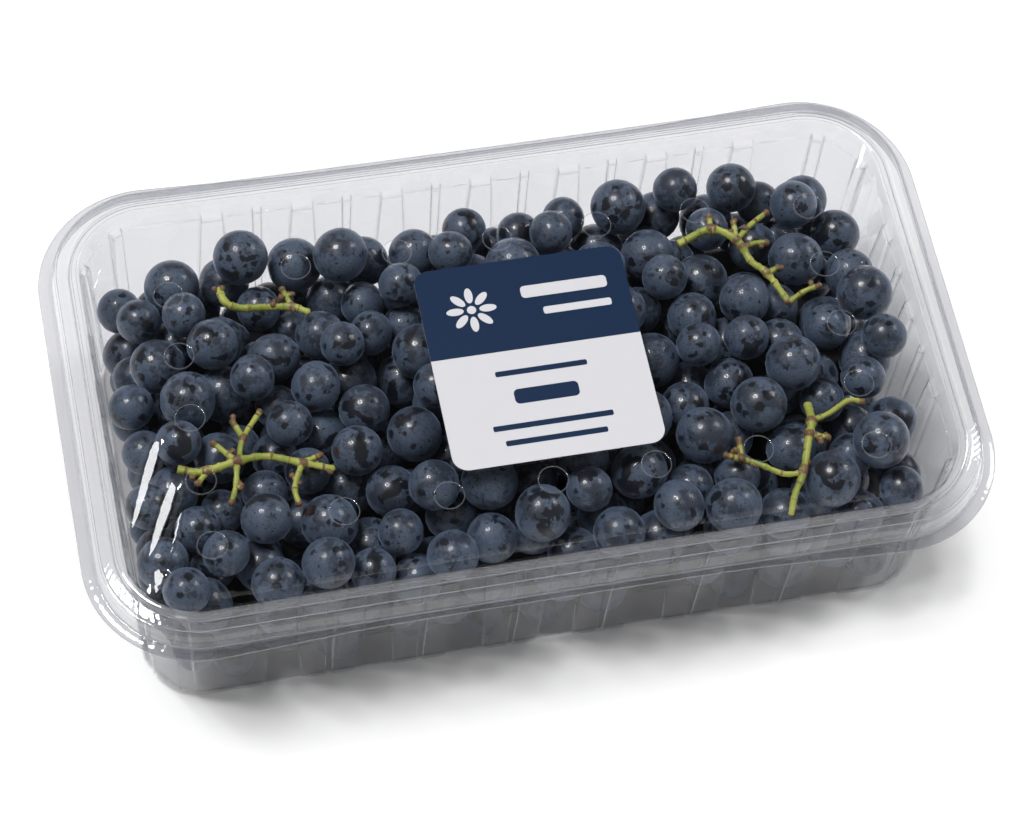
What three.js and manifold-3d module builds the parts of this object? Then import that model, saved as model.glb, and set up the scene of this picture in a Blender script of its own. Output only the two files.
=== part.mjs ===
// A punnet of blue grapes: a clear tray formed from thin ribbed sheet, a heap of berries with sprigs of
// stalk, a clear film sealed over the rim with rows of vent holes, and a paper label on the film.
// Millimetres, +Z up. The origin is the middle of the base, on the surface that the punnet stands on.
import * as THREE from 'three';
import { mergeVertices } from 'three/addons/utils/BufferGeometryUtils.js';
import Module from 'manifold-3d';

const wasm = await Module();
wasm.setup();

// ---- driving dimensions ----
// Every inset is measured inwards from the outer edge of the sealing shelf, the flat top of the rim.
const SHELF = { length: 190, width: 109, radius: 21.3, height: 46.6 };
const SHEET = 0.5; // thickness of the formed sheet
const WAIST = 0.4; // how far the long sides are drawn in at their middle
const LIP = { drop: 4.5, side: 1.6, corner: 3.0, lobeStart: 14, lobeEnd: 56 };
const BEAD = { outer: 3.5, inner: 5.6, rise: 1.4 }; // raised ring between the shelf and the walls
const WALL = { top: 5.3, base: 7.6, foot: 9.0, footHeight: 1.4 }; // insets of the wall's outer face
const GAP = 0.35; // clear space kept between separate pieces

// Dents in the walls: half width, and inset of the dent's face, at the base and at the dent's top.
const DENT_TOP = 41.5;
const DENT_SLOPE = 2.2; // height in which a dent's top runs out
const DENT_SIDE = 0.3; // width of a dent's steep side
const LONG_RIB = { baseHalf: 4.1, topHalf: 2.2, baseInset: 8.35, topInset: 7.1 };
const SHORT_RIB = { baseHalf: 4.1, topHalf: 2.2, baseInset: 8.35, topInset: 6.5 };
const CORNER_RIB = { baseHalf: 2.4, topHalf: 1.7, baseInset: 8.5, topInset: 6.9 };
const GROOVE = { baseHalf: 0.45, topHalf: 0.75, baseInset: 8.2, topInset: 6.4 };
const RIB_PITCH = 20.1;
const LONG_RIBS = 7;
const LONG_RIB_SHIFT = 2.0; // the row's middle, from the middle of the long side
const SHORT_RIBS = 3;
const CORNER_RIB_ANGLES = [22.5, 67.5];

const FILM = { thickness: 0.25, edge: 0.9, fold: 2.8, shoulder: 5.0 };
const VENT_RADIUS = 3.1;
const VENT_SIDES = 8;
const VENT_ROW = { pitch: 22.2, each: 2, centre: 1.5, back: 28.6, front: -31.8 };
const VENT_COLUMN = { inset: 24.0, pitch: 15.2, start: -35.0, count: 5 };

const LABEL = { width: 45.8, depth: 49.4, radius: 3.4, x: 4.3, y: -2.3, thickness: 0.2 };

const BERRY_RADII = [5.1, 5.7, 6.3];
const HEAP = { top: 46.0, cornerDrop: 13, seed: 20, step: 1.2, roughness: 2.2 };
const HEAP_WALL = { long: 9.3, short: 9.3, longLean: 0.030, shortLean: 0.048, corner: 8.9 };
const CORE = { inset: 13.5, bottom: 3.0 };
const SHOWN = { top: 1.8, wall: 1.8 }; // berries this many radii from the top or a wall are made
const FUSE_TOLERANCE = 0.2; // how far joining the berries may move a face

const STALK = { main: 1.05, twig: 0.7, tip: 1.05, sides: 5 };

const COLORS = { clear: 0xe4e6ea, navy: 0x1f3a5f, berry: 0x39445a, stalk: 0xa3ad3c };

// ---- small helpers ----

/** A solid from a closed geometry. */
function toSolid(geometry) {
  const bare = geometry.clone();
  bare.deleteAttribute('normal');
  bare.deleteAttribute('uv');
  const merged = mergeVertices(bare, 1e-4);
  return new wasm.Manifold(new wasm.Mesh({
    numProp: 3,
    vertProperties: new Float32Array(merged.attributes.position.array),
    triVerts: new Uint32Array(merged.index.array),
  }));
}

/** The geometry of a solid. */
function toGeometry(solid) {
  const mesh = solid.getMesh();
  const geometry = new THREE.BufferGeometry();
  geometry.setAttribute('position', new THREE.BufferAttribute(new Float32Array(mesh.vertProperties), 3));
  geometry.setIndex(new THREE.BufferAttribute(new Uint32Array(mesh.triVerts), 1));
  geometry.computeVertexNormals();
  return geometry;
}

/**
 * Closed skin through levels, each a loop of points marked with their place along the loop, listed so
 * that the skin faces out. Levels with as many points are joined point to point, others by place, and
 * both ends are flat fans.
 */
function skin(levels) {
  const positions = [];
  const index = [];
  const starts = levels.map((level) => {
    const start = positions.length / 3;
    level.forEach(({ point }) => positions.push(point.x, point.y, point.z));
    return start;
  });
  for (let row = 0; row + 1 < levels.length; row += 1) {
    const [lower, upper] = [levels[row], levels[row + 1]];
    const paired = lower.length === upper.length;
    const place = (level, i) => {
      if (i >= level.length) return Infinity;
      return paired ? i : level[i].place;
    };
    let [i, j] = [0, 0];
    while (i < lower.length || j < upper.length) {
      const a = starts[row] + (i % lower.length);
      const b = starts[row + 1] + (j % upper.length);
      if (j >= upper.length || (i < lower.length && place(lower, i + 1) <= place(upper, j + 1))) {
        index.push(a, starts[row] + ((i + 1) % lower.length), b);
        i += 1;
      } else {
        index.push(a, starts[row + 1] + ((j + 1) % upper.length), b);
        j += 1;
      }
    }
  }
  [0, levels.length - 1].forEach((row) => {
    const level = levels[row];
    const middle = level.reduce((sum, { point }) => sum.add(point), new THREE.Vector3());
    middle.divideScalar(level.length);
    const fan = positions.length / 3;
    positions.push(middle.x, middle.y, middle.z);
    level.forEach((_, i) => {
      const pair = [starts[row] + i, starts[row] + ((i + 1) % level.length)];
      index.push(fan, ...(row === 0 ? pair.reverse() : pair));
    });
  });
  const geometry = new THREE.BufferGeometry();
  geometry.setAttribute('position', new THREE.Float32BufferAttribute(positions, 3));
  geometry.setIndex(index);
  return geometry;
}

/** The largest body of a solid, without loose scraps and sealed hollows. */
function largest(solid) {
  return solid.decompose().reduce((best, body) => (body.volume() > best.volume() ? body : best));
}

/** A smooth step from 0 to 1 while t goes from 0 to 1. */
function smooth(t) {
  const s = Math.min(Math.max(t, 0), 1);
  return s * s * (3 - 2 * s);
}

/** A seeded generator of numbers from 0 to 1. */
function seeded(seed) {
  let state = seed;
  return () => {
    state = (Math.imul(1664525, state) + 1013904223) >>> 0;
    return state / 4294967296;
  };
}

// ---- the rim's outline ----
// A place on the outline is a distance along the shelf's outer edge, anticlockwise from the +X end of
// the arc in the corner where x and y are both positive.
const ARC_STEPS = 6;
const SIDE_STEPS = [6, 2, 6, 2];
const ARC = (Math.PI / 2) * SHELF.radius;
const SIDES = [SHELF.length, SHELF.width, SHELF.length, SHELF.width].map((size) => size - 2 * SHELF.radius);

/** Place where a corner's arc starts; its side follows the arc. */
function cornerStart(corner) {
  return SIDES.slice(0, corner).reduce((sum, side) => sum + ARC + side, 0);
}

/** The shelf's edge at a place: its point, its outward normal and how far the nearest corner's middle is. */
function edgeAt(place) {
  let corner = 3;
  while (place < cornerStart(corner)) corner -= 1;
  const along = place - cornerStart(corner);
  const signX = corner === 0 || corner === 3 ? 1 : -1;
  const signY = corner < 2 ? 1 : -1;
  const angle = (corner + Math.min(along / ARC, 1)) * (Math.PI / 2);
  const normal = new THREE.Vector2(Math.cos(angle), Math.sin(angle));
  const at = new THREE.Vector2(
    signX * (SHELF.length / 2 - SHELF.radius),
    signY * (SHELF.width / 2 - SHELF.radius),
  ).addScaledVector(normal, SHELF.radius);
  if (along <= ARC) return { at, normal, far: Math.abs(along - ARC / 2) };
  const side = SIDES[corner];
  const share = (along - ARC) / side;
  const drawnIn = corner % 2 === 0 ? WAIST * 4 * share * (1 - share) : 0;
  at.addScaledVector(new THREE.Vector2(-normal.y, normal.x), side * share).addScaledVector(normal, -drawnIn);
  return { at, normal, far: ARC / 2 + Math.min(share, 1 - share) * side };
}

/** The places that every plain level uses: even steps round each corner and along each side. */
const PLAIN_PLACES = SIDES.flatMap((side, corner) => [
  ...Array.from({ length: ARC_STEPS }, (_, i) => cornerStart(corner) + (i / ARC_STEPS) * ARC),
  ...Array.from({ length: SIDE_STEPS[corner] }, (_, i) => (
    cornerStart(corner) + ARC + (i / SIDE_STEPS[corner]) * side
  )),
]);

/** A point moved inwards from the shelf's edge, at a height. */
function edgePoint(place, inset, height) {
  const { at, normal } = edgeAt(place);
  return { place, point: new THREE.Vector3(at.x - normal.x * inset, at.y - normal.y * inset, height) };
}

/** The shelf's edge moved inwards, at a height. */
function ring(inset, height) {
  return PLAIN_PLACES.map((place) => edgePoint(place, inset, height));
}

/** The lip's outer edge: narrow along the long sides and wide at the corners. */
function lipEdge(height) {
  return PLAIN_PLACES.map((place) => {
    const { normal, far } = edgeAt(place);
    const narrow = THREE.MathUtils.lerp(LIP.corner, LIP.side, normal.y * normal.y);
    const away = smooth((far - LIP.lobeStart) / (LIP.lobeEnd - LIP.lobeStart));
    return edgePoint(place, -THREE.MathUtils.lerp(LIP.corner, narrow, away), height);
  });
}

// ---- the tray ----

/** Where each dent stands on the outline. */
function dentPlaces() {
  const rows = [];
  SIDES.forEach((side, corner) => {
    const middle = cornerStart(corner) + ARC + side / 2;
    const isLong = corner % 2 === 0;
    const shift = isLong ? (corner === 0 ? -LONG_RIB_SHIFT : LONG_RIB_SHIFT) : 0;
    const count = isLong ? LONG_RIBS : SHORT_RIBS;
    for (let i = 0; i < count; i += 1) {
      const place = middle + shift + (i - (count - 1) / 2) * RIB_PITCH;
      rows.push({ rib: isLong ? LONG_RIB : SHORT_RIB, place });
      if (i + 1 < count) rows.push({ rib: GROOVE, place: place + RIB_PITCH / 2 });
    }
    CORNER_RIB_ANGLES.forEach((angle) => {
      rows.push({ rib: CORNER_RIB, place: cornerStart(corner) + (angle / 90) * ARC });
    });
  });
  return rows;
}

const DENTS = dentPlaces();

/** One level of a wall's face with its dents; `grow` is the sheet's thickness on the inner face. */
function dentedRing(inset, height, grow) {
  const rows = DENTS.map(({ rib, place }) => {
    const share = height / DENT_TOP;
    const half = THREE.MathUtils.lerp(rib.baseHalf, rib.topHalf, share) + grow;
    const face = THREE.MathUtils.lerp(rib.baseInset, rib.topInset, share) + grow;
    return { place, half, face };
  });
  const plain = PLAIN_PLACES.filter((place) => (
    DENTS.every((dent) => Math.abs(place - dent.place) > dent.rib.baseHalf + SHEET + 2 * DENT_SIDE)
  ));
  return [
    ...plain.map((place) => edgePoint(place, inset, height)),
    ...rows.flatMap(({ place, half, face }) => [
      edgePoint(place - half - DENT_SIDE, inset, height),
      edgePoint(place - half, face, height),
      edgePoint(place + half, face, height),
      edgePoint(place + half + DENT_SIDE, inset, height),
    ]),
  ].sort((a, b) => a.place - b.place);
}

/** The formed sheet: underside from the base out to the lip, then the top side back in to the base. */
function makeTray() {
  const beadTop = SHELF.height + BEAD.rise;
  const lipTop = SHELF.height - LIP.drop;
  const inset = (height) => THREE.MathUtils.mapLinear(height, WALL.footHeight, beadTop, WALL.base, WALL.top);
  return skin([
    ring(WALL.foot, 0),
    dentedRing(WALL.base, WALL.footHeight, 0),
    dentedRing(inset(DENT_TOP), DENT_TOP, 0),
    ring(inset(DENT_TOP + DENT_SLOPE), DENT_TOP + DENT_SLOPE),
    ring(WALL.top, beadTop - SHEET),
    ring(BEAD.outer + 0.9, beadTop - SHEET - 0.05),
    ring(BEAD.outer + 0.3, SHELF.height - SHEET),
    ring(0.6, SHELF.height - SHEET),
    ring(-0.1, lipTop - SHEET),
    lipEdge(lipTop - SHEET),
    lipEdge(lipTop),
    ring(-0.55, lipTop),
    ring(0, SHELF.height - 0.35),
    ring(0.4, SHELF.height),
    ring(BEAD.outer, SHELF.height),
    ring(BEAD.outer + 0.5, beadTop - 0.1),
    ring(BEAD.inner - 0.25, beadTop),
    ring(WALL.top + SHEET, beadTop - 0.5),
    ring(inset(DENT_TOP + DENT_SLOPE + SHEET) + SHEET, DENT_TOP + DENT_SLOPE + SHEET),
    dentedRing(inset(DENT_TOP) + SHEET, DENT_TOP + 0.2, SHEET),
    dentedRing(WALL.base + SHEET, WALL.footHeight + 0.4, SHEET),
    ring(WALL.foot + 0.3, SHEET),
  ]);
}

// ---- the film ----

/** Middles of the vent holes: a row along each long side and a column near each short side. */
function ventPlaces() {
  const places = [];
  const columnX = SHELF.length / 2 - VENT_COLUMN.inset;
  for (let i = -VENT_ROW.each; i <= VENT_ROW.each; i += 1) {
    const x = VENT_ROW.centre + i * VENT_ROW.pitch;
    places.push([x, VENT_ROW.back], [x, VENT_ROW.front]);
  }
  for (let i = 0; i < VENT_COLUMN.count; i += 1) {
    const y = VENT_COLUMN.start + i * VENT_COLUMN.pitch;
    places.push([columnX, y], [-columnX, y]);
  }
  return places;
}

/** A clear sheet that lies over the bead and turns down onto the shelf, with round vents cut in it. */
function makeFilm() {
  const low = SHELF.height + GAP;
  const high = SHELF.height + BEAD.rise + GAP;
  const { thickness, edge, fold, shoulder } = FILM;
  const sheet = toSolid(skin([
    ring(shoulder, high),
    ring(fold + 0.45, high - 0.5),
    ring(fold, low),
    ring(edge, low),
    ring(edge, low + thickness),
    ring(fold - 0.15, low + thickness),
    ring(fold + 0.3, high - 0.4 + thickness),
    ring(shoulder, high + thickness),
  ]));
  const cutters = ventPlaces().map(([x, y]) => {
    const cylinder = new THREE.CylinderGeometry(VENT_RADIUS, VENT_RADIUS, 2, VENT_SIDES);
    cylinder.rotateX(Math.PI / 2);
    cylinder.translate(x, y, high + thickness / 2);
    return toSolid(cylinder);
  });
  return toGeometry(sheet.subtract(cutters.reduce((sum, cutter) => sum.add(cutter))));
}

// ---- the label ----

/** A rectangle with round corners, flat on the film. */
function makeLabel() {
  const { width, depth, radius, thickness } = LABEL;
  const [x, y] = [width / 2, depth / 2];
  const shape = new THREE.Shape();
  shape.moveTo(-x + radius, -y);
  shape.lineTo(x - radius, -y);
  shape.absarc(x - radius, -y + radius, radius, -Math.PI / 2, 0, false);
  shape.lineTo(x, y - radius);
  shape.absarc(x - radius, y - radius, radius, 0, Math.PI / 2, false);
  shape.lineTo(-x + radius, y);
  shape.absarc(-x + radius, y - radius, radius, Math.PI / 2, Math.PI, false);
  shape.lineTo(-x, -y + radius);
  shape.absarc(-x + radius, -y + radius, radius, Math.PI, Math.PI * 1.5, false);
  const settings = { depth: thickness, bevelEnabled: false, curveSegments: 4 };
  return toGeometry(toSolid(new THREE.ExtrudeGeometry(shape, settings)));
}

// ---- the stalks ----
// Each sprig is a main stem with side twigs, as routes of points chosen by hand.
const SPRIGS = {
  stalk_back_right: {
    main: [
      [42.5, 26, 39.5], [50, 27.5, 41.5], [55, 23.5, 42],
      [57, 18, 41.5], [60, 14.5, 41], [63.5, 7, 39.5],
    ],
    twigs: [
      [[50, 27.5, 41.5], [50.4, 31, 42.5]],
      [[55, 23.5, 42], [55.2, 28.5, 43]],
      [[55, 23.5, 42], [59, 26.5, 43], [63.5, 29.2, 43]],
      [[56, 21.5, 41.8], [59, 22, 42.2], [62, 21.4, 42.4]],
      [[60, 14.5, 41], [63, 15.4, 42]],
      [[63.3, 7.4, 39.6], [67.2, 8.6, 41.5], [71, 9.2, 42]],
    ],
  },
  stalk_front_right: {
    main: [
      [61.2, -18.4, 39.5], [60.5, -23.6, 41.5], [58.8, -28, 41.5],
      [56, -35, 40.5], [53.5, -39, 39], [51.8, -43, 37],
    ],
    twigs: [
      [[56, -35, 40.5], [52, -34.3, 40], [47, -31, 40], [40, -27.8, 40.5]],
      [[43.8, -29.6, 40.2], [44.1, -24.6, 41.5]],
      [[60.5, -23.6, 41.5], [65, -22, 41], [70, -19.4, 40.5], [73.6, -20.2, 40]],
      [[59.4, -26.6, 41.5], [63.6, -28.6, 42]],
    ],
  },
  stalk_front_left: {
    main: [
      [-75, -12.4, 41], [-70, -13.8, 41], [-62, -12.9, 42],
      [-56, -13.2, 42.5], [-49, -15.7, 42], [-42.2, -17.5, 40.5],
    ],
    twigs: [
      [[-62, -12.9, 42], [-60.3, -7.8, 42], [-55.4, -1, 41]],
      [[-60.3, -7.6, 42], [-62, -2.6, 41.5]],
      [[-62.5, -12.9, 41.9], [-67.2, -7.6, 42.5]],
      [[-62.5, -12.9, 41.9], [-63.6, -18.4, 41], [-65.3, -22, 39.5]],
      [[-68.6, -13.6, 41.2], [-71.8, -16.6, 40.5]],
      [[-49, -15.7, 42], [-44.2, -14.2, 42]],
      [[-49, -15.7, 42], [-51.4, -20.6, 41], [-51, -24.8, 40]],
    ],
  },
  stalk_back_left: {
    main: [
      [-59.6, 30.8, 40], [-58.6, 27.2, 40], [-55.6, 25.6, 39.5],
      [-50, 25, 39.3], [-44.5, 24, 39.5], [-40.8, 21.6, 40],
    ],
    twigs: [[[-44.5, 24, 39.5], [-46.2, 28.6, 41]]],
  },
};

/** The round cross-section of a stalk at each point of its route, square to the way it runs. */
function stalkTube(route, radii) {
  const points = route.map((point) => new THREE.Vector3(...point));
  const loops = points.map((point, i) => {
    const before = points[Math.max(i - 1, 0)];
    const after = points[Math.min(i + 1, points.length - 1)];
    const ahead = after.clone().sub(before).normalize();
    const side = new THREE.Vector3(0, 0, 1).cross(ahead).normalize();
    const up = ahead.clone().cross(side);
    return Array.from({ length: STALK.sides }, (_, k) => {
      const angle = (k / STALK.sides) * Math.PI * 2;
      const onTube = point.clone()
        .addScaledVector(side, Math.cos(angle) * radii[i])
        .addScaledVector(up, Math.sin(angle) * radii[i]);
      return { place: k, point: onTube };
    });
  });
  return toSolid(skin(loops));
}

/** One sprig: the main stem tapers a little, and each twig ends in a swollen tip. */
function makeSprig({ main, twigs }) {
  const stem = stalkTube(main, main.map((_, i) => STALK.main * (1 - 0.05 * i)));
  const joined = twigs.reduce((sum, route) => {
    const last = route.length - 1;
    const radii = route.map((_, i) => (i === last ? STALK.tip : STALK.twig));
    return sum.add(stalkTube(route, radii));
  }, stem);
  return toGeometry(joined);
}

/** All straight lengths of all stalks, for the berries to stay clear of. */
function stalkLengths() {
  const routes = Object.values(SPRIGS).flatMap(({ main, twigs }) => [main, ...twigs]);
  return routes.flatMap((route) => route.slice(1).map((end, i) => ({ start: route[i], end })));
}

// ---- the berries ----

/** Distance from a point to a straight length. */
function distanceTo({ start, end }, point) {
  const along = end.map((value, k) => value - start[k]);
  const reach = point.map((value, k) => value - start[k]);
  const dot = (a, b) => a[0] * b[0] + a[1] * b[1] + a[2] * b[2];
  const share = Math.min(Math.max(dot(reach, along) / dot(along, along), 0), 1);
  const off = reach.map((value, k) => value - along[k] * share);
  return Math.sqrt(dot(off, off));
}

/** Height that the heap reaches: level, and lower towards the two back corners. */
function heapTop(x, y) {
  const corner = Math.max(y / 46, 0) * ((x * x) / (88 * 88));
  return HEAP.top - HEAP.cornerDrop * corner * corner;
}

/** Whether a berry fits inside the walls. */
function insideWalls(x, y, z, radius) {
  const [halfX, halfY] = [SHELF.length / 2, SHELF.width / 2];
  const overX = Math.abs(x) - (halfX - SHELF.radius);
  const overY = Math.abs(y) - (halfY - SHELF.radius);
  const roomX = halfX - HEAP_WALL.short + HEAP_WALL.shortLean * z - radius;
  const roomY = halfY - HEAP_WALL.long + HEAP_WALL.longLean * z - radius;
  const roomCorner = SHELF.radius - HEAP_WALL.corner + HEAP_WALL.longLean * z - radius;
  if (Math.abs(x) > roomX || Math.abs(y) > roomY) return false;
  return overX <= 0 || overY <= 0 || overX * overX + overY * overY <= roomCorner * roomCorner;
}

/**
 * Drops the berries one by one, each into the lowest place where one of its size can lie, until none
 * fits under the heap's top. Every place is a cell of a square grid, and each size has its own map of
 * the height at which a berry over a cell comes to rest.
 */
function packBerries() {
  const random = seeded(HEAP.seed);
  const lengths = stalkLengths();
  const [countX, countY] = [SHELF.length, SHELF.width].map((size) => Math.floor(size / HEAP.step));
  const cells = [];
  for (let i = 0; i < countX; i += 1) {
    for (let j = 0; j < countY; j += 1) {
      cells.push([(i - (countX - 1) / 2) * HEAP.step, (j - (countY - 1) / 2) * HEAP.step]);
    }
  }
  const rough = cells.map(() => random() * HEAP.roughness);
  const maps = BERRY_RADII.map((radius) => cells.map(() => SHEET + GAP + radius));
  const berries = [];

  const fits = (x, y, z, radius) => z + radius <= heapTop(x, y) && insideWalls(x, y, z, radius)
    && lengths.every((length) => distanceTo(length, [x, y, z]) >= radius + STALK.tip + GAP);
  const lowest = (kind) => {
    const map = maps[kind];
    for (;;) {
      let best = -1;
      let bestScore = Infinity;
      for (let c = 0; c < cells.length; c += 1) {
        const score = map[c] + rough[c];
        if (score < bestScore) {
          bestScore = score;
          best = c;
        }
      }
      if (best < 0 || fits(cells[best][0], cells[best][1], map[best], BERRY_RADII[kind])) return best;
      map[best] = Infinity;
    }
  };

  for (;;) {
    const first = Math.floor(random() * BERRY_RADII.length);
    let [kind, cell] = [first, -1];
    for (let turn = 0; turn < BERRY_RADII.length && cell < 0; turn += 1) {
      kind = (first + turn) % BERRY_RADII.length;
      cell = lowest(kind);
    }
    if (cell < 0) return berries;
    const [x, y] = cells[cell];
    const berry = { x, y, z: maps[kind][cell], radius: BERRY_RADII[kind] };
    berries.push(berry);
    BERRY_RADII.forEach((radius, k) => {
      const reach = (berry.radius + radius) * (berry.radius + radius);
      for (let c = 0; c < cells.length; c += 1) {
        const [dx, dy] = [cells[c][0] - x, cells[c][1] - y];
        const away = dx * dx + dy * dy;
        if (away < reach) maps[k][c] = Math.max(maps[k][c], berry.z + Math.sqrt(reach - away));
      }
    });
  }
}

/** The hidden inside of the heap, a block a berry or so smaller all round. */
function heapCore() {
  return toSolid(skin([
    ring(CORE.inset + 3, CORE.bottom),
    ring(CORE.inset, CORE.bottom + 4),
    ring(CORE.inset, 30),
    ring(CORE.inset + 2, 34),
    ring(CORE.inset + 6, 37.4),
  ]));
}

function makeHeap() {
  const berries = packBerries();
  const balls = berries.map(({ x, y, z, radius }) => {
    const onTop = z + SHOWN.top * radius > heapTop(x, y);
    const atWall = !insideWalls(x, y, z, radius * SHOWN.wall);
    if (!onTop && !atWall) return null;
    const ball = new THREE.SphereGeometry(radius, onTop ? 7 : 6, onTop ? 5 : 4);
    ball.rotateX(Math.PI / 2);
    ball.translate(x, y, z);
    return toSolid(ball);
  }).filter(Boolean);
  return toGeometry(largest(wasm.Manifold.union([heapCore(), ...balls]).simplify(FUSE_TOLERANCE)));
}

// ---- the scene ----
const clearPlastic = new THREE.MeshStandardMaterial({
  color: COLORS.clear,
  roughness: 0.08,
  metalness: 0,
  transparent: true,
  opacity: 0.3,
});
const labelPaper = new THREE.MeshStandardMaterial({ color: COLORS.navy, roughness: 0.5, metalness: 0 });
const berrySkin = new THREE.MeshStandardMaterial({ color: COLORS.berry, roughness: 0.6, metalness: 0 });
const stalkSkin = new THREE.MeshStandardMaterial({ color: COLORS.stalk, roughness: 0.6, metalness: 0 });

const punnet = new THREE.Group();
punnet.name = 'punnet_of_grapes';

/** Adds one named piece to the punnet. */
function addPiece(name, geometry, material, x = 0, y = 0, z = 0) {
  const piece = new THREE.Mesh(geometry, material);
  piece.name = name;
  piece.position.set(x, y, z);
  punnet.add(piece);
}

const filmTop = SHELF.height + BEAD.rise + GAP + FILM.thickness;
addPiece('tray', makeTray(), clearPlastic);
addPiece('grapes', makeHeap(), berrySkin);
Object.entries(SPRIGS).forEach(([name, sprig]) => addPiece(name, makeSprig(sprig), stalkSkin));
addPiece('film', makeFilm(), clearPlastic);
addPiece('label', makeLabel(), labelPaper, LABEL.x, LABEL.y, filmTop + GAP);

export default punnet;
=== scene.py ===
"""A sealed punnet of blue grapes, dressed for rendering: tray, film, label, berries and stalks.

The shape functions work in millimetres, in the part's own frame (+X along the long side, +Y to the back,
+Z up, base on the floor), and make_piece turns them into metres.
"""

import math

import bpy
import numpy as np
from bpy.props import FloatProperty, FloatVectorProperty, IntProperty, PointerProperty
from mathutils import Matrix, Vector
from mathutils.geometry import delaunay_2d_cdt


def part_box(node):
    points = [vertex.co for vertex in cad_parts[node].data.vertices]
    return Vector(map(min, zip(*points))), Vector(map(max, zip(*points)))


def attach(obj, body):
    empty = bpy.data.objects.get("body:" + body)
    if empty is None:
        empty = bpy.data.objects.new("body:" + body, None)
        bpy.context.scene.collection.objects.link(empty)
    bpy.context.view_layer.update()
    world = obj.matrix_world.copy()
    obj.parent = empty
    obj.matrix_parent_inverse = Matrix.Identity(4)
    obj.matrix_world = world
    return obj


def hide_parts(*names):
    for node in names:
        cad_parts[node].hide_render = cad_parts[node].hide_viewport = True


bl_info = {
    "name": "Punnet of Grapes",
    "version": (1, 0, 0),
    "blender": (4, 5, 0),
    "location": "View3D > Sidebar > Punnet",
    "description": "Builds a clear punnet of blue grapes with its film, label, berries and stalks",
    "category": "Add Mesh",
}

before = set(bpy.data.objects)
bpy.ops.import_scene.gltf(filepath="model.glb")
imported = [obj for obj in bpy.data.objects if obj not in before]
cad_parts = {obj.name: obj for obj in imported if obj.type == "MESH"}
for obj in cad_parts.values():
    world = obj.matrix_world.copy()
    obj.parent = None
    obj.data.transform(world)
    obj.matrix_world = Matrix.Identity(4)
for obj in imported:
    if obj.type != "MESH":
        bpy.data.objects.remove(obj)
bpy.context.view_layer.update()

MM = 0.001


def box_mm(node):
    """Lowest and highest corner of a node of the frame, in millimetres."""
    low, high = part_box(node)
    return np.array(low) / MM, np.array(high) / MM


TRAY_LOW, TRAY_HIGH = box_mm("tray")
FILM_LOW, FILM_HIGH = box_mm("film")
LABEL_LOW, LABEL_HIGH = box_mm("label")

# ---- sizes of the pack, in millimetres ----
# Insets are measured inwards from the outer edge of the sealing shelf, the flat top of the rim.
LIP_CORNER = 3.0  # how far the lip stands out at the corners and along the short sides
LIP_SIDE = 1.6  # and at the middle of the long sides
LIP_LOBE = (14.0, 56.0)  # distances from a corner's middle between which it narrows
FILM_INSET = 0.9
GAP = 0.35  # clear gap between pieces
SHELF_LENGTH = round(float(TRAY_HIGH[0] - TRAY_LOW[0]) - 2 * LIP_CORNER, 1)
SHELF_WIDTH = round(float(FILM_HIGH[1] - FILM_LOW[1]) + 2 * FILM_INSET, 1)
SHELF_RADIUS = 21.3
SHELF_HEIGHT = round(float(FILM_LOW[2]) - GAP, 1)
BEAD_TOP = round(float(TRAY_HIGH[2]), 1)
LIP_TOP = SHELF_HEIGHT - 4.5
WAIST = 0.4  # how far the long sides are drawn in
SHEET = 0.5  # thickness of the tray's sheet
WALL_TOP, WALL_BASE, FOOT = 5.3, 7.6, 9.0  # insets of the wall's top and base and of the foot
FOOT_HEIGHT = 1.4
# Height of the dents' top, rise of the ledge above it, and half the width over which a flank slopes.
DENT_TOP, DENT_SLOPE, DENT_EDGE = 41.5, 1.4, 0.35
RIB_PITCH, LONG_RIBS, SHORT_RIBS = 20.1, 7, 3
LONG_RIB_SHIFT = 2.0  # how far the long walls' ribs stand towards +X from the middle
CORNER_RIB_SHARES = (0.25, 0.75)
# Dents: half width at the base and at the top, and the inset of the face at the base and at the top.
LONG_RIB = (4.1, 2.2, 8.35, 7.1)
SHORT_RIB = (4.1, 2.2, 8.35, 6.5)
CORNER_RIB = (2.4, 1.7, 8.5, 6.9)
GROOVE = (0.45, 0.75, 8.2, 6.4)

# ---- the heap ----
BERRY_RADII = (5.1, 5.7, 6.3)
HEAP_TOP, HEAP_CORNER_DROP = 46.0, 13  # its height, and how much lower it is in the back corners
HEAP_SEED, HEAP_STEP, HEAP_ROUGHNESS = 20, 1.2, 2.2  # seed, cell size and random rise of the packing
# The berries' room: its inset at the long and the short walls, how much it widens with height there, and
# its inset in the corners.
HEAP_LONG, HEAP_SHORT, HEAP_LONG_LEAN, HEAP_SHORT_LEAN, HEAP_CORNER = 9.3, 9.3, 0.030, 0.048, 8.9
HEAP_END, HEAP_BACK = 88, 46  # where the drop towards the back corners is whole

# ---- the stalks: radii of the main stem, the twigs and the swollen tips ----
STALK_MAIN, STALK_TWIG, STALK_TIP = 1.05, 0.7, 1.05
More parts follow.
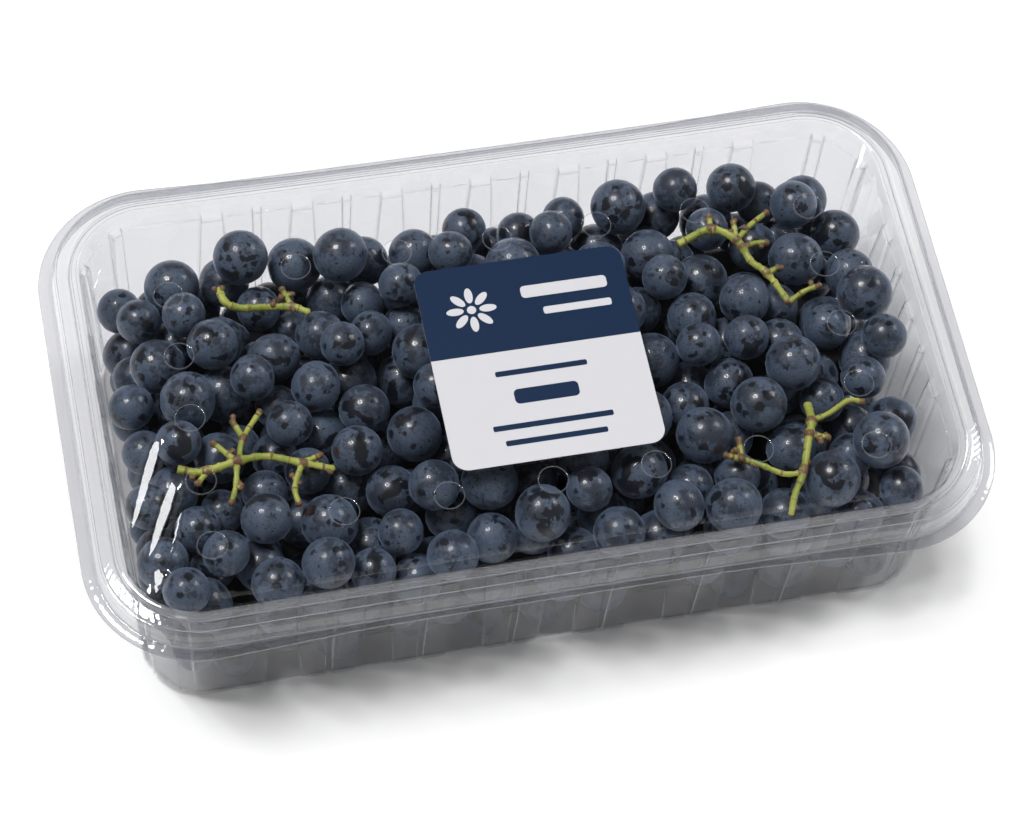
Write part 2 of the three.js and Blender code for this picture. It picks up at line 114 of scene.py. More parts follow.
# Each sprig: its main stem, then its side twigs, as routes of points.
SPRIGS = {
    "stalk_back_right": (
        ((42.5, 26, 39.5), (50, 27.5, 41.5), (55, 23.5, 42), (57, 18, 41.5), (60, 14.5, 41), (63.5, 7, 39.5)),
        ((50, 27.5, 41.5), (50.4, 31, 42.5)),
        ((55, 23.5, 42), (55.2, 28.5, 43)),
        ((55, 23.5, 42), (59, 26.5, 43), (63.5, 29.2, 43)),
        ((56, 21.5, 41.8), (59, 22, 42.2), (62, 21.4, 42.4)),
        ((60, 14.5, 41), (63, 15.4, 42)),
        ((63.3, 7.4, 39.6), (67.2, 8.6, 41.5), (71, 9.2, 42)),
    ),
    "stalk_front_right": (
        (
            (61.2, -18.4, 39.5), (60.5, -23.6, 41.5), (58.8, -28, 41.5),
            (56, -35, 40.5), (53.5, -39, 39), (51.8, -43, 37),
        ),
        ((56, -35, 40.5), (52, -34.3, 40), (47, -31, 40), (40, -27.8, 40.5)),
        ((43.8, -29.6, 40.2), (44.1, -24.6, 41.5)),
        ((60.5, -23.6, 41.5), (65, -22, 41), (70, -19.4, 40.5), (73.6, -20.2, 40)),
        ((59.4, -26.6, 41.5), (63.6, -28.6, 42)),
    ),
    "stalk_front_left": (
        (
            (-75, -12.4, 41), (-70, -13.8, 41), (-62, -12.9, 42),
            (-56, -13.2, 42.5), (-49, -15.7, 42), (-42.2, -17.5, 40.5),
        ),
        ((-62, -12.9, 42), (-60.3, -7.8, 42), (-55.4, -1, 41)),
        ((-60.3, -7.6, 42), (-62, -2.6, 41.5)),
        ((-62.5, -12.9, 41.9), (-67.2, -7.6, 42.5)),
        ((-62.5, -12.9, 41.9), (-63.6, -18.4, 41), (-65.3, -22, 39.5)),
        ((-68.6, -13.6, 41.2), (-71.8, -16.6, 40.5)),
        ((-49, -15.7, 42), (-44.2, -14.2, 42)),
        ((-49, -15.7, 42), (-51.4, -20.6, 41), (-51, -24.8, 40)),
    ),
    "stalk_back_left": (
        (
            (-59.6, 30.8, 40), (-58.6, 27.2, 40), (-55.6, 25.6, 39.5),
            (-50, 25, 39.3), (-44.5, 24, 39.5), (-40.8, 21.6, 40),
        ),
        ((-44.5, 24, 39.5), (-46.2, 28.6, 41)),
    ),
}

# ---- the film's sheet, its fold over the bead and its vents ----
FILM_SHEET = 0.25
FILM_FOLD = 2.8
VENT_RADIUS = 3.1
VENT_ROW_COUNT, VENT_ROW_PITCH, VENT_ROW_CENTRE, VENT_ROW_BACK, VENT_ROW_FRONT = 5, 22.2, 1.5, 28.6, -31.8
VENT_COLUMN_INSET, VENT_COLUMN_PITCH, VENT_COLUMN_START, VENT_COLUMN_COUNT = 24.0, 15.2, -35.0, 5


# ---- helpers ----


def smooth(t):
    """Smooth step from 0 to 1: 3t² - 2t³ with t held between 0 and 1."""
    t = np.clip(t, 0.0, 1.0)
    return t * t * (3.0 - 2.0 * t)


def lerp(a, b, t):
    """Straight mix of a and b."""
    return a + (b - a) * t


def distances(points, others):
    """Distance of each point from each of the others."""
    return np.linalg.norm(points[:, None] - others[None], axis=-1)


def hill(distance, width):
    """A round hill, 1 at distance 0: e to the minus (distance / width) squared."""
    return np.exp(-((distance / width) ** 2))


def make_piece(name, points, faces, material, slot, replaces=(), attributes=None, is_smooth=True):
    """A mesh at the origin, from points in millimetres and arrays of faces with equal corner counts."""
    mesh = bpy.data.meshes.new(name)
    corners = np.concatenate([f.ravel() for f in faces]).astype(np.int32)
    sizes = np.concatenate([np.full(len(f), f.shape[1]) for f in faces])
    mesh.vertices.add(len(points))
    mesh.vertices.foreach_set("co", (points * MM).astype(np.float32).ravel())
    mesh.loops.add(len(corners))
    mesh.loops.foreach_set("vertex_index", corners)
    mesh.polygons.add(len(sizes))
    mesh.polygons.foreach_set("loop_start", np.r_[0, np.cumsum(sizes)[:-1]].astype(np.int32))
    mesh.update(calc_edges=True)
    mesh.polygons.foreach_set("use_smooth", np.full(len(sizes), is_smooth))
    for key, values in (attributes or {}).items():
        kind, field = ("FLOAT_VECTOR", "vector") if values.ndim == 2 else ("FLOAT", "value")
        layer = mesh.attributes.new(key, kind, "POINT")
        layer.data.foreach_set(field, values.astype(np.float32).ravel())
    mesh.materials.append(material)
    piece = bpy.data.objects.new(name, mesh)
    bpy.context.scene.collection.objects.link(piece)
    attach(piece, "root")
    if replaces:
        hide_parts(*replaces)


def grid_faces(rows, columns):
    """Quads of a grid numbered row by row, whose last column joins the first."""
    row = np.arange(rows - 1)[:, None] * columns
    column = np.arange(columns)[None, :]
    after = (column + 1) % columns
    quads = np.stack([row + column, row + after, row + columns + after, row + columns + column], axis=-1)
    return quads.reshape(-1, 4)


def fan_faces(ring, middle, flip=False):
    """Triangles from a closed ring of point numbers to one middle point."""
    after = np.roll(ring, -1)
    centre = np.full(len(ring), middle)
    return np.stack([after, ring, centre] if flip else [ring, after, centre], axis=-1)


def cross_unit(a, b):
    """Unit vectors square to both a and b."""
    c = np.cross(a, b)
    return c / np.linalg.norm(c, axis=-1, keepdims=True)


# ---- the rim's outline ----
# A place is a distance along the shelf's outer edge, anticlockwise from the +X end of the first corner.
ARC = math.pi / 2 * SHELF_RADIUS
SIDES = np.array([SHELF_LENGTH, SHELF_WIDTH, SHELF_LENGTH, SHELF_WIDTH]) - 2 * SHELF_RADIUS
CORNER_STARTS = np.r_[0, np.cumsum(SIDES + ARC)[:-1]]
OUTLINE = float(np.sum(SIDES + ARC))
CORNER_SIGNS = np.array([(1, 1), (-1, 1), (-1, -1), (1, -1)])


def edge_at(place):
    """The shelf's edge: quarter circles joined by sides that are drawn in a little as a parabola.

    Gives the point, the outward normal, and the distance along the edge to the nearest corner's middle."""
    place = np.mod(place, OUTLINE)
    corner = np.searchsorted(CORNER_STARTS, place, side="right") - 1
    along = place - CORNER_STARTS[corner]
    angle = (corner + np.minimum(along / ARC, 1.0)) * (math.pi / 2)
    normal = np.stack([np.cos(angle), np.sin(angle)], axis=-1)
    middle = CORNER_SIGNS[corner] * (np.array([SHELF_LENGTH, SHELF_WIDTH]) / 2 - SHELF_RADIUS)
    side = SIDES[corner]
    share = np.maximum(along - ARC, 0.0) / side
    drawn_in = np.where(corner % 2 == 0, WAIST * 4 * share * (1 - share), 0.0)
    tangent = np.stack([-normal[..., 1], normal[..., 0]], axis=-1)
    at = middle + normal * (SHELF_RADIUS - drawn_in)[..., None] + tangent * (side * share)[..., None]
    far = np.where(along <= ARC, np.abs(along - ARC / 2), ARC / 2 + np.minimum(share, 1 - share) * side)
    return at, normal, far


def lip_reach(normal, far):
    """How far the lip stands out: narrow along the long sides, wide at the corners and short sides."""
    narrow = lerp(LIP_CORNER, LIP_SIDE, normal[..., 1] ** 2)
    away = smooth((far - LIP_LOBE[0]) / (LIP_LOBE[1] - LIP_LOBE[0]))
    return lerp(LIP_CORNER, narrow, away)


# ---- the tray ----
TRAY_FINE, TRAY_COARSE = 0.5, 2.4  # column steps round the corners and between dents
WALL_ROWS = 15
BASE_SHARES = (0.25, 0.5, 0.75, 0.93)  # rings of points across the base, as shares of its size
# The profile's corners: insets of the base's last ring, the foot, the wall's start, the bead, the bead's
# foot, the shelf's edge, the lip's start and the lip's flat part.
BASE_EDGE, FOOT_EDGE, WALL_START = FOOT + 4.0, FOOT + 0.15, WALL_BASE + 0.25
BEAD_EDGE, BEAD_FOOT, SHELF_EDGE, LIP_START, LIP_FLAT = 4.0, 3.65, 0.3, -0.33, -0.4
WALL_LOW, WALL_FROM, WALL_TO = FOOT_HEIGHT + 0.2, FOOT_HEIGHT + 1.5, DENT_TOP - 0.6
# How far from a corner its bend starts: at the foot, on the slope, at the ledge, the bead and its foot,
# and the shelf's edge.
FOOT_BEND, SLOPE_BEND, LEDGE_BEND, BEAD_BEND, BEAD_FOOT_BEND, EDGE_BEND = 0.5, 0.02, 0.8, 0.45, 0.35, 0.4
BEND_STEPS = 4
POINT_GAP = 0.03  # points of the profile closer than this are one
LIP_ROUND = 0.8  # how far the lip's edge bulges, as a share of half the sheet
# The crease values set where the wall gets pale lines of painted light and the rim's bends lines of painted
# shade and light.
CREASE_ANGLE = 32.0  # a bend of at least this many degrees shows as a full crease
CREASE_SHARP, CREASE_SOFT = 0.13, 0.3  # half widths of the creases along straight ribs and corner ribs
LEDGE_CREASE, LEDGE_WIDTH = 0.4, 0.35  # strength and half width of the crease along a dent's ledge
FOOT_FADE = 0.4  # how far above the foot a dent is whole
TICK_PITCH, TICK_WIDTH = 2.3, 0.28
TICK_WAVES = ((0.25, 2.7, 0.0), (0.2, 0.9, 1.0))  # size, rate and start of the waves that shift the marks
TICK_END, TICK_FADE = 34.0, 8.0  # where the marks end, from a corner's middle, and over what length
# Columns at and beside a dent's middle, as shares of its half width and distances beyond that.
DENT_KNOTS = ((0, 0), (0.5, 0), (1, -0.4), (1, -0.15), (1, 0.1), (1, 0.35), (1, 0.75))
GROOVE_KNOTS = ((0, 0), (1, -0.2), (1, 0.0), (1, 0.2), (1, 0.5), (1, 0.9))


def dent_rows():
    """Every dent as (place of its middle, its kind)."""
    rows = []
    for corner, side in enumerate(SIDES):
        is_long = corner % 2 == 0
        count = LONG_RIBS if is_long else SHORT_RIBS
        shift = (-LONG_RIB_SHIFT if corner == 0 else LONG_RIB_SHIFT) if is_long else 0.0
        middle = CORNER_STARTS[corner] + ARC + side / 2 + shift
        for i in range(count):
            place = middle + (i - (count - 1) / 2) * RIB_PITCH
            rows.append((place, LONG_RIB if is_long else SHORT_RIB))
            if i + 1 < count:
                rows.append((place + RIB_PITCH / 2, GROOVE))
        for share in CORNER_RIB_SHARES:
            rows.append((CORNER_STARTS[corner] + share * ARC, CORNER_RIB))
    return sorted(rows)


def tray_columns(dents):
    """Columns of the tray's grid as (place, share of the dent's half width, dent number).

    Columns near a side's dent follow its slanting edges, and plain columns fill the rest."""
    columns = []
    for number, (place, kind) in enumerate(dents):
        if kind is CORNER_RIB:
            continue
        for follow, fixed in GROOVE_KNOTS if kind is GROOVE else DENT_KNOTS:
            for sign in (-1, 1) if follow or fixed else (1,):
                columns.append((place + sign * fixed, sign * follow, number))
    for start in CORNER_STARTS:
        columns += [(place, 0, -1) for place in np.arange(start, start + ARC, TRAY_FINE)]
    spread = [place + follow * dents[number][1][0] for place, follow, number in columns]
    order = np.argsort(spread)
    columns = [columns[i] for i in order]
    spread = np.array(spread)[order]
    gaps = np.diff(np.r_[spread, spread[0] + OUTLINE])
    for place, gap in zip(spread, gaps):
        extra = int(gap // TRAY_COARSE)
        columns += [(place + gap * (k + 1) / (extra + 1), 0, -1) for k in range(extra)]
    columns.sort(key=lambda c: c[0] + c[1] * dents[c[2]][1][0])
    return (np.array(list(values)) for values in zip(*columns))


def bent_profile(corners):
    """A line through corners given as (inset, height, reach), each rounded by a parabola that starts
    and ends that far from the corner. Gives points, the unit normals on the line's left, and how
    creased each point is: most in the middle of a sharp bend."""
    points = np.array([c[:2] for c in corners], float)
    line, crease = [points[0]], [0.0]
    t = np.linspace(0, 1, BEND_STEPS + 1)[:, None]
    for before, at, after, corner in zip(points, points[1:], points[2:], corners[1:]):
        reach = corner[2]
        arriving = (at - before) / np.linalg.norm(at - before)
        leaving = (after - at) / np.linalg.norm(after - at)
        first, last = at - arriving * reach, at + leaving * reach
        line += list((1 - t) ** 2 * first + 2 * t * (1 - t) * at + t**2 * last)
        angle = math.degrees(math.acos(min(float(arriving @ leaving), 1.0)))
        crease += list(smooth(angle / CREASE_ANGLE) * (1 - np.abs(2 * t[:, 0] - 1)) ** 2)
    line.append(points[-1])
    crease.append(0.0)
    line = np.array(line)
    keep = np.r_[True, np.linalg.norm(np.diff(line, axis=0), axis=1) > POINT_GAP]
    line, crease = line[keep], np.array(crease)[keep]
    ahead = np.gradient(line, axis=0)
    ahead /= np.linalg.norm(ahead, axis=1, keepdims=True)
    return line, np.stack([-ahead[:, 1], ahead[:, 0]], axis=-1), crease


def wall_inset(height):
    """Inset of the wall's outer face: a straight slope from the foot to the bead."""
    share = (height - FOOT_HEIGHT) / (BEAD_TOP - FOOT_HEIGHT)
    return lerp(WALL_BASE, WALL_TOP, share)


def dent_shape(place, height, dents):
    """How far each dent pushes the wall in, and how creased the wall is there. A dent is full within its
    tapering width, and fades out over its edges, over the ledge at its top and over the foot."""
    middles = np.array([d[0] for d in dents])
    kinds = np.array([d[1] for d in dents])
    away = np.mod(place[:, None] - middles[None, :] + OUTLINE / 2, OUTLINE) - OUTLINE / 2
    nearest = np.abs(away).argmin(axis=1)
    distance = np.abs(away[np.arange(len(place)), nearest])
    share = min(height / DENT_TOP, 1.0)
    half = lerp(kinds[nearest, 0], kinds[nearest, 1], share) + DENT_EDGE / 2
    face = lerp(kinds[nearest, 2], kinds[nearest, 3], share)
    within = smooth((half + DENT_EDGE - distance) / (2 * DENT_EDGE))
    top = smooth((DENT_TOP + DENT_SLOPE - height) / DENT_SLOPE)
    foot = smooth((height - SHEET / 2) / (FOOT_HEIGHT + FOOT_FADE))
    spread = np.where(kinds[nearest, 0] == CORNER_RIB[0], CREASE_SOFT, CREASE_SHARP)
    flank = hill(distance - half, spread) * min(top * 2, 1.0) * foot
    ledge = within * hill(height - DENT_TOP, LEDGE_WIDTH)
    return (face - wall_inset(height)) * within * top * foot, np.maximum(flank, LEDGE_CREASE * ledge)


def lip_ticks(place, far):
    """Height of the small marks that cross the lip at the corners: narrow ridges at uneven steps."""
    step = place / TICK_PITCH
    wander = sum(size * np.sin(step * rate + start) for size, rate, start in TICK_WAVES)
    phase = np.abs(np.mod(step + wander, 1.0) - 0.5) * TICK_PITCH
    return hill(phase, TICK_WIDTH) * smooth((TICK_END - far) / TICK_FADE)


def tray_profile():
    """The middle of the tray's sheet, from the base up the wall, over the bead, along the shelf and down
    to the lip, with its normals and bends."""
    half = SHEET / 2
    corners = [
        (BASE_EDGE, half, 0),
        (FOOT_EDGE, half, FOOT_BEND),
        (WALL_START, WALL_LOW, FOOT_BEND),
    ]
    for height in np.linspace(WALL_FROM, WALL_TO, WALL_ROWS):
        corners.append((wall_inset(height) + half, height, SLOPE_BEND))
    corners += [
        (wall_inset(DENT_TOP) + half, DENT_TOP, SLOPE_BEND),
        (wall_inset(DENT_TOP + DENT_SLOPE / 2) + half, DENT_TOP + DENT_SLOPE / 2, LEDGE_BEND),
        (WALL_TOP + half, BEAD_TOP - half, BEAD_BEND),
        (BEAD_EDGE, BEAD_TOP - half, BEAD_BEND),
        (BEAD_FOOT, SHELF_HEIGHT - half, BEAD_FOOT_BEND),
        (SHELF_EDGE, SHELF_HEIGHT - half, EDGE_BEND),
        (LIP_START, LIP_TOP - half, EDGE_BEND),
        (-LIP_SIDE, LIP_TOP - half, 0),
    ]
    return bent_profile(corners)


def tray_face(side, profile, lip_share, columns, dents, tick_height):
    """One face of the tray's sheet: the profile, moved half a sheet to one side and carried round the
    rim's outline. Gives rows of points, and how creased the wall and how bent the rim is at each."""
    half = SHEET / 2
    place0, follow, dent = columns
    kinds = np.array([d[1] for d in dents])
    rows, creases, bends = [], [], []
    for (inset, height), (across, up), bend, out in zip(*profile, lip_share):
        on_wall = inset > WALL_TOP
        width = lerp(kinds[dent, 0], kinds[dent, 1], min(height / DENT_TOP, 1.0))
        place = place0 + follow * width
        at, outward, far = edge_at(place)
        inward = inset + side * across * half - out * (lip_reach(outward, far) - LIP_SIDE)
        crease = np.full(len(place), bend if on_wall else 0.0)
        if on_wall and height < DENT_TOP + DENT_SLOPE:
            depth, flank = dent_shape(place, height, dents)
            inward = inward + depth
            crease = np.maximum(crease, flank)
        marks = lip_ticks(place, far) * math.sin(math.pi * min(out, 1.0))
        level = height + side * up * half + tick_height * marks
        rows.append(np.column_stack([at - outward * inward[:, None], np.broadcast_to(level, place.shape)]))
        creases.append(crease)
        bends.append(np.full(len(place), 0.0 if on_wall else bend))
    return np.array(rows), np.concatenate(creases), np.concatenate(bends)


def tray_surface(settings):
    """The tray's sheet: an outer and an inner face that meet at the lip's edge, shut across the base."""
    dents = dent_rows()
    columns = tuple(tray_columns(dents))
    profile = tray_profile()
    inset, height = profile[0].T
    on_lip = (inset < LIP_FLAT) & (height < LIP_TOP)
    lip_share = np.where(on_lip, (-inset + LIP_FLAT) / (LIP_SIDE + LIP_FLAT), 0.0)
    shared = (profile, lip_share, columns, dents, settings.tick_height / MM)
    outer, crease, line = tray_face(1, *shared)
    inner, _, _ = tray_face(-1, *shared)

    place0, follow, dent = columns
    tops = np.array([d[1][1] for d in dents])
    lip_edge = (outer[-1] + inner[-1]) / 2
    lip_edge[:, :2] += edge_at(place0 + follow * tops[dent])[1] * (SHEET / 2) * LIP_ROUND
    under = [outer[0] * (share, share, 1) for share in BASE_SHARES]
    inside = [inner[0] * (share, share, 1) for share in BASE_SHARES[::-1]]
    rows = np.array([*under, *outer, lip_edge, *inner[::-1], *inside])
    count, per = rows.shape[:2]
    middles = np.array([[0, 0, 0.0], [0, 0, SHEET]])
    points = np.vstack([rows.reshape(-1, 3), middles])
    # The marks of painted light and shade at creases and bends lie on the outer face alone, so that each is
    # seen once.
    before = np.zeros(len(under) * per)
    after = np.zeros((len(inner) + len(inside)) * per + len(middles))
    base = np.zeros(len(under))
    on_rim = np.r_[base, lip_share > 0, True, (lip_share > 0)[::-1], base].astype(float)
    attributes = {
        "crease": np.concatenate([before, crease, np.zeros(per), after]),
        "line": np.concatenate([before, line, np.ones(per), after]),
        "rim": np.r_[np.repeat(on_rim, per), np.zeros(len(middles))],
    }
    first = np.arange(per)
    caps = np.vstack([
        fan_faces(first, count * per, flip=True), fan_faces(first + (count - 1) * per, count * per + 1),
    ])
    return points, [grid_faces(count, per), caps], attributes


# ---- the film ----
FILM_COLUMN_CORNER, FILM_COLUMN_SIDE = 0.45, 1.6
FILM_BORDER = (0.9, 1.1, 1.4, 1.75, 2.1, 2.45, 2.8, 3.0, 3.2, 3.45, 3.8, 4.3, 4.8, 5.4, 6.0, 6.6, 7.2)
FILM_GRID = 1.5
FILM_FINE = 0.5  # the net's step near the folds
SEAL_DEPTH, SEAL_PITCH, SEAL_SLANT = 0.05, 1.75, 1.4
SEAL_BAND, SEAL_EASE = (1.0, 2.7), 0.4  # insets between which the seal's marks lie
SEAL_END, SEAL_FADE = 48.0, 20.0  # where they end, from a corner's middle, and over what length
SEAL_RISE = 0.45  # how much the film rises across the shelf
BEAD_RISE = 1.3  # and over what width it then rises onto the bead
VENT_SIDES = 44
VENT_RINGS = (0.0, 0.1, 0.3, 0.65, 1.2)  # distances of the rings of points from a vent's edge
VENT_CLEAR, BORDER_CLEAR = 1.9, 0.9  # how far the net of points keeps from the vents and the border
VENT_LIFT, VENT_LIFT_WIDTH = 0.04, 0.3  # height and width of the raised edge round a vent
VENT_PAINTED_LIGHT, VENT_PAINTED_LIGHT_WIDTH = 0.3, 0.1  # strength and width of the pale ring of painted light on it, for the light the cut edge catches
FOLD_SWELL, FOLD_START, FOLD_END = 1.25, 0.6, 0.25  # size and powers of a fold's taper
FOLD_EASE = 1.1  # width of the way back to the flat, as a share of half the fold
FOLD_NEAR, FOLD_BEYOND = 1.8, 0.05  # reach of the fine net, as shares of a fold's width and length
SLACK_START, SLACK_EASE = 3.4, 4.0  # inset where the film's slack starts, and over what width
SLACK_HIGH, SLACK_LOW = 0.10, 0.06  # heights of the broad and the slanting waves
SLACK_X, SLACK_Y, SLACK_BEND, SLACK_SLANT = 9.0, 13.0, 11.0, 6.1  # their lengths, for one radian


def vent_places():
    """Middles of the vents: a row along each long side and a column near each short side."""
    places = []
    column_x = SHELF_LENGTH / 2 - VENT_COLUMN_INSET
    for i in range(VENT_ROW_COUNT):
        x = VENT_ROW_CENTRE + (i - VENT_ROW_COUNT // 2) * VENT_ROW_PITCH
        places += [(x, VENT_ROW_BACK), (x, VENT_ROW_FRONT)]
    for i in range(VENT_COLUMN_COUNT):
        y = VENT_COLUMN_START + i * VENT_COLUMN_PITCH
        places += [(column_x, y), (-column_x, y)]
    return np.array(places)


def fold_line(x, y, start, end):
    """Distance across and share along a fold that runs straight from start to end."""
    start, end = np.array(start), np.array(end)
    run = end - start
    length = np.linalg.norm(run)
    share = ((x - start[0]) * run[0] + (y - start[1]) * run[1]) / length**2
    across = ((x - start[0]) * run[1] - (y - start[1]) * run[0]) / length
    return across, share


# Folds of the film, in plan: start, end, width and slope of the slanting face, which falls to the right.
FOLDS = (
    ((-87.6, -30.5), (-78.4, -8.8), 3.2, 0.49),
    ((-84.9, -37.2), (-76.5, -19.2), 3.4, 0.49),
    ((-81.2, -39.6), (-75.8, -25.2), 1.5, 0.50),
    ((-84.6, -44.6), (-82.3, -38.7), 3.4, 0.49),
    ((-92.0, 25.0), (-87.5, 36.0), 1.8, 0.50),
    ((-84.0, 41.5), (-74.0, 46.8), 1.8, 0.45),
    ((-90.0, 21.0), (-84.0, 35.5), 1.4, 0.50),
    ((83.6, 32.4), (89.0, 42.0), 2.2, 0.40),
    ((78.0, 41.0), (86.0, 46.0), 1.6, 0.45),
    ((80.0, -46.0), (87.0, -38.0), 1.4, 0.45),
)


def film_lift(x, y):
    """Height of the film's folds and slack over its flat place: each fold is a slanting face that tapers
    to its ends, with an easy way back to the flat on both sides, and the slack is long, low waves."""
    lift = np.zeros_like(x)
    for start, end, width, slope in FOLDS:
        across, share = fold_line(x, y, start, end)
        held = np.clip(share, 0, 1)
        taper = FOLD_SWELL * held**FOLD_START * (1 - held) ** FOLD_END
        half = width / 2 * taper + 1e-6
        beyond = np.maximum(np.abs(across) - half, 0)
        lift -= slope * np.clip(across, -half, half) * (1 - smooth(beyond / (FOLD_EASE * half)))
    lift += SLACK_HIGH * np.sin(x / SLACK_X + 0.6 * np.sin(y / SLACK_BEND)) * np.cos(y / SLACK_Y + 0.8)
    lift += SLACK_LOW * np.sin((x + 1.6 * y) / SLACK_SLANT)
    return lift


def seal_marks(place, inset, far):
    """Slanting marks pressed into the seal, deepest at the corners."""
    wave = np.sin(2 * math.pi * (place + SEAL_SLANT * inset) / SEAL_PITCH)
    start, end = SEAL_BAND
    band = smooth((inset - start) / SEAL_EASE) * smooth((end - inset) / SEAL_EASE)
    return SEAL_DEPTH * wave * band * smooth((SEAL_END - far) / SEAL_FADE)


def film_height(inset):
    """The film's top: a slight rise across the shelf, then up over the bead and flat across the punnet."""
    low, high = FILM_LOW[2] + FILM_SHEET, FILM_HIGH[2]
    seal = SEAL_RISE * np.clip((inset - FILM_INSET) / (FILM_FOLD - FILM_INSET), 0, 1)
    return lerp(low + seal, high, smooth((inset - FILM_FOLD) / BEAD_RISE))


def flat_net(step):
    """Points of a triangular net over the punnet."""
    steps_x = np.arange(-SHELF_LENGTH / 2, SHELF_LENGTH / 2, step)
    steps_y = np.arange(-SHELF_WIDTH / 2, SHELF_WIDTH / 2, step * math.sqrt(3) / 2)
    net = np.stack(np.meshgrid(steps_x, steps_y, indexing="ij"), axis=-1)
    net[:, ::2, 0] += step / 2
    return net.reshape(-1, 2)


def near_fold(net):
    """Whether each point lies close to a fold of the film."""
    near = np.zeros(len(net), bool)
    for start, end, width, _ in FOLDS:
        across, share = fold_line(net[:, 0], net[:, 1], start, end)
        beside = (share > -FOLD_BEYOND) & (share < 1 + FOLD_BEYOND)
        near |= (np.abs(across) < width * FOLD_NEAR) & beside
    return near


def film_border():
    """The film's rows of points round the rim, and the rim's outward normals there."""
    places = [np.arange(start, start + ARC, FILM_COLUMN_CORNER) for start in CORNER_STARTS]
    for start, side in zip(CORNER_STARTS, SIDES):
        places.append(np.arange(start + ARC, start + ARC + side, FILM_COLUMN_SIDE))
    place = np.sort(np.concatenate(places))
    at, normal, far = edge_at(place)
    rows = []
    for inset in FILM_BORDER:
        flat = at - normal * inset
        slack = film_lift(flat[:, 0], flat[:, 1]) * smooth((inset - SLACK_START) / SLACK_EASE)
        level = film_height(inset) + seal_marks(place, inset, far) + slack
        rows.append(np.column_stack([flat, level]))
    return np.array(rows), normal


def film_net(inner, normal, vents):
    """Points of the film inside its border: rings round the vents, and a net that is fine near folds."""
    turn = np.arange(VENT_SIDES) / VENT_SIDES * 2 * math.pi
    circle = np.stack([np.cos(turn), np.sin(turn)], axis=-1)
    rings = [(vents[:, None] + circle * (VENT_RADIUS + out)).reshape(-1, 2) for out in VENT_RINGS]
    coarse, fine = flat_net(FILM_GRID), flat_net(FILM_FINE)
    net = np.vstack([coarse[~near_fold(coarse)], fine[near_fold(fine)]])
    from_vents = distances(net, vents).min(axis=1)
    nearest = distances(net, inner[::2]).argmin(axis=1)
    behind = np.einsum("ij,ij->i", inner[::2][nearest] - net, normal[::2][nearest])
    return np.vstack([*rings, net[(from_vents > VENT_RADIUS + VENT_CLEAR) & (behind > BORDER_CLEAR)]])


def film_surface():
    """The film's top face: rings round the rim, and inside them a net of triangles with round vents."""
    border, normal = film_border()
    count, columns = border.shape[:2]
    inner = border[-1, :, :2]
    vents = vent_places()

    flat = np.vstack([inner, film_net(inner, normal, vents)])
    edges = [(i, (i + 1) % columns) for i in range(columns)]
    for vent in range(len(vents)):
        first = columns + vent * VENT_SIDES
        edges += [(first + i, first + (i + 1) % VENT_SIDES) for i in range(VENT_SIDES)]
    found, _, triangles, origins, _, _ = delaunay_2d_cdt([Vector(p) for p in flat], edges, [], 0, 1e-5)
    found = np.array([tuple(p) for p in found])
    triangles = np.array([tuple(t) for t in triangles])
    middle = found[triangles].mean(axis=1)
    in_vent = (distances(middle, vents) < VENT_RADIUS * 0.998).any(axis=1)
    from_ring = distances(middle, inner).argmin(axis=1)
    outside = np.einsum("ij,ij->i", middle - inner[from_ring], normal[from_ring]) > 1e-3
    triangles = triangles[~in_vent & ~outside]

    from_vent = distances(found, vents).min(axis=1) - VENT_RADIUS
    level = FILM_HIGH[2] + film_lift(found[:, 0], found[:, 1])
    level += VENT_LIFT * hill(np.maximum(from_vent, 0), VENT_LIFT_WIDTH)
    numbers = np.arange(len(found)) + count * columns
    for i, source in enumerate(origins):
        if source and min(source) < columns:
            numbers[i] = (count - 1) * columns + min(source)
    points = np.vstack([border.reshape(-1, 3), np.column_stack([found, level])])
    # The vents' cut edges carry a pale ring of painted light, and the film's outer edge a line of painted
    # shade and light.
    attributes = {
        "crease": np.r_[np.zeros(count * columns), VENT_PAINTED_LIGHT * hill(from_vent, VENT_PAINTED_LIGHT_WIDTH)],
        "line": np.r_[np.ones(columns), np.zeros(len(points) - columns)],
        "rim": np.zeros(len(points)),
    }
    return points, [grid_faces(count, columns), numbers[triangles]], attributes


def thicken(points, faces, attributes, thickness):
    """A closed sheet from an open top face: a copy below it faces down, and every open edge is shut."""
    count = len(points)
    pairs = np.vstack([
        np.stack([f, np.roll(f, -1, axis=1)], axis=-1).reshape(-1, 2) for f in faces
    ]).astype(np.int64)
    keys = pairs[:, 0] * count + pairs[:, 1]
    back = pairs[:, 1] * count + pairs[:, 0]
    open_pairs = pairs[~np.isin(keys, back)]
    walls = np.stack([
        open_pairs[:, 1], open_pairs[:, 0], open_pairs[:, 0] + count, open_pairs[:, 1] + count,
    ], axis=-1)
    below = points - (0, 0, thickness)
    used = np.unique(np.concatenate([f.ravel() for f in faces]))
    renumber = np.zeros(2 * count, np.int64)
    both = np.r_[used, used + count]
    renumber[both] = np.arange(len(both))
    made = [*faces, *[f[:, ::-1] + count for f in faces], walls]
    doubled = {key: np.r_[values, values][both] for key, values in attributes.items()}
    return np.vstack([points, below])[both], [renumber[f] for f in made], doubled


# ---- the label ----
LABEL_RADIUS = 3.4
LABEL_PRINT = 0.03
LABEL_NAVY_SHARE = 0.452  # how much of the label's depth the navy field takes, from the back
# Bars on the white part: share of its depth from the front, width and height.
WHITE_BARS = ((0.80, 20.0, 1.3), (0.58, 14.0, 3.6), (0.32, 26.0, 1.3), (0.18, 22.0, 1.3))
# Bars on the navy part: how far left of the right edge, how far above the middle, width and height.
NAVY_BARS = ((14.0, 2.6, 19.0, 3.0), (12.0, -2.6, 15.0, 1.8))
BAR_CORNER = 0.3  # a bar's corner radius, as a share of its smaller side
FLOWER_INSET, FLOWER_EYE = 11.0, 1.0
PETALS, PETAL_OUT, PETAL_LENGTH, PETAL_WIDTH = 8, 3.6, 1.9, 0.9  # each petal's middle and half sizes
CORNER_STEPS, ROUND_STEPS = 8, 20


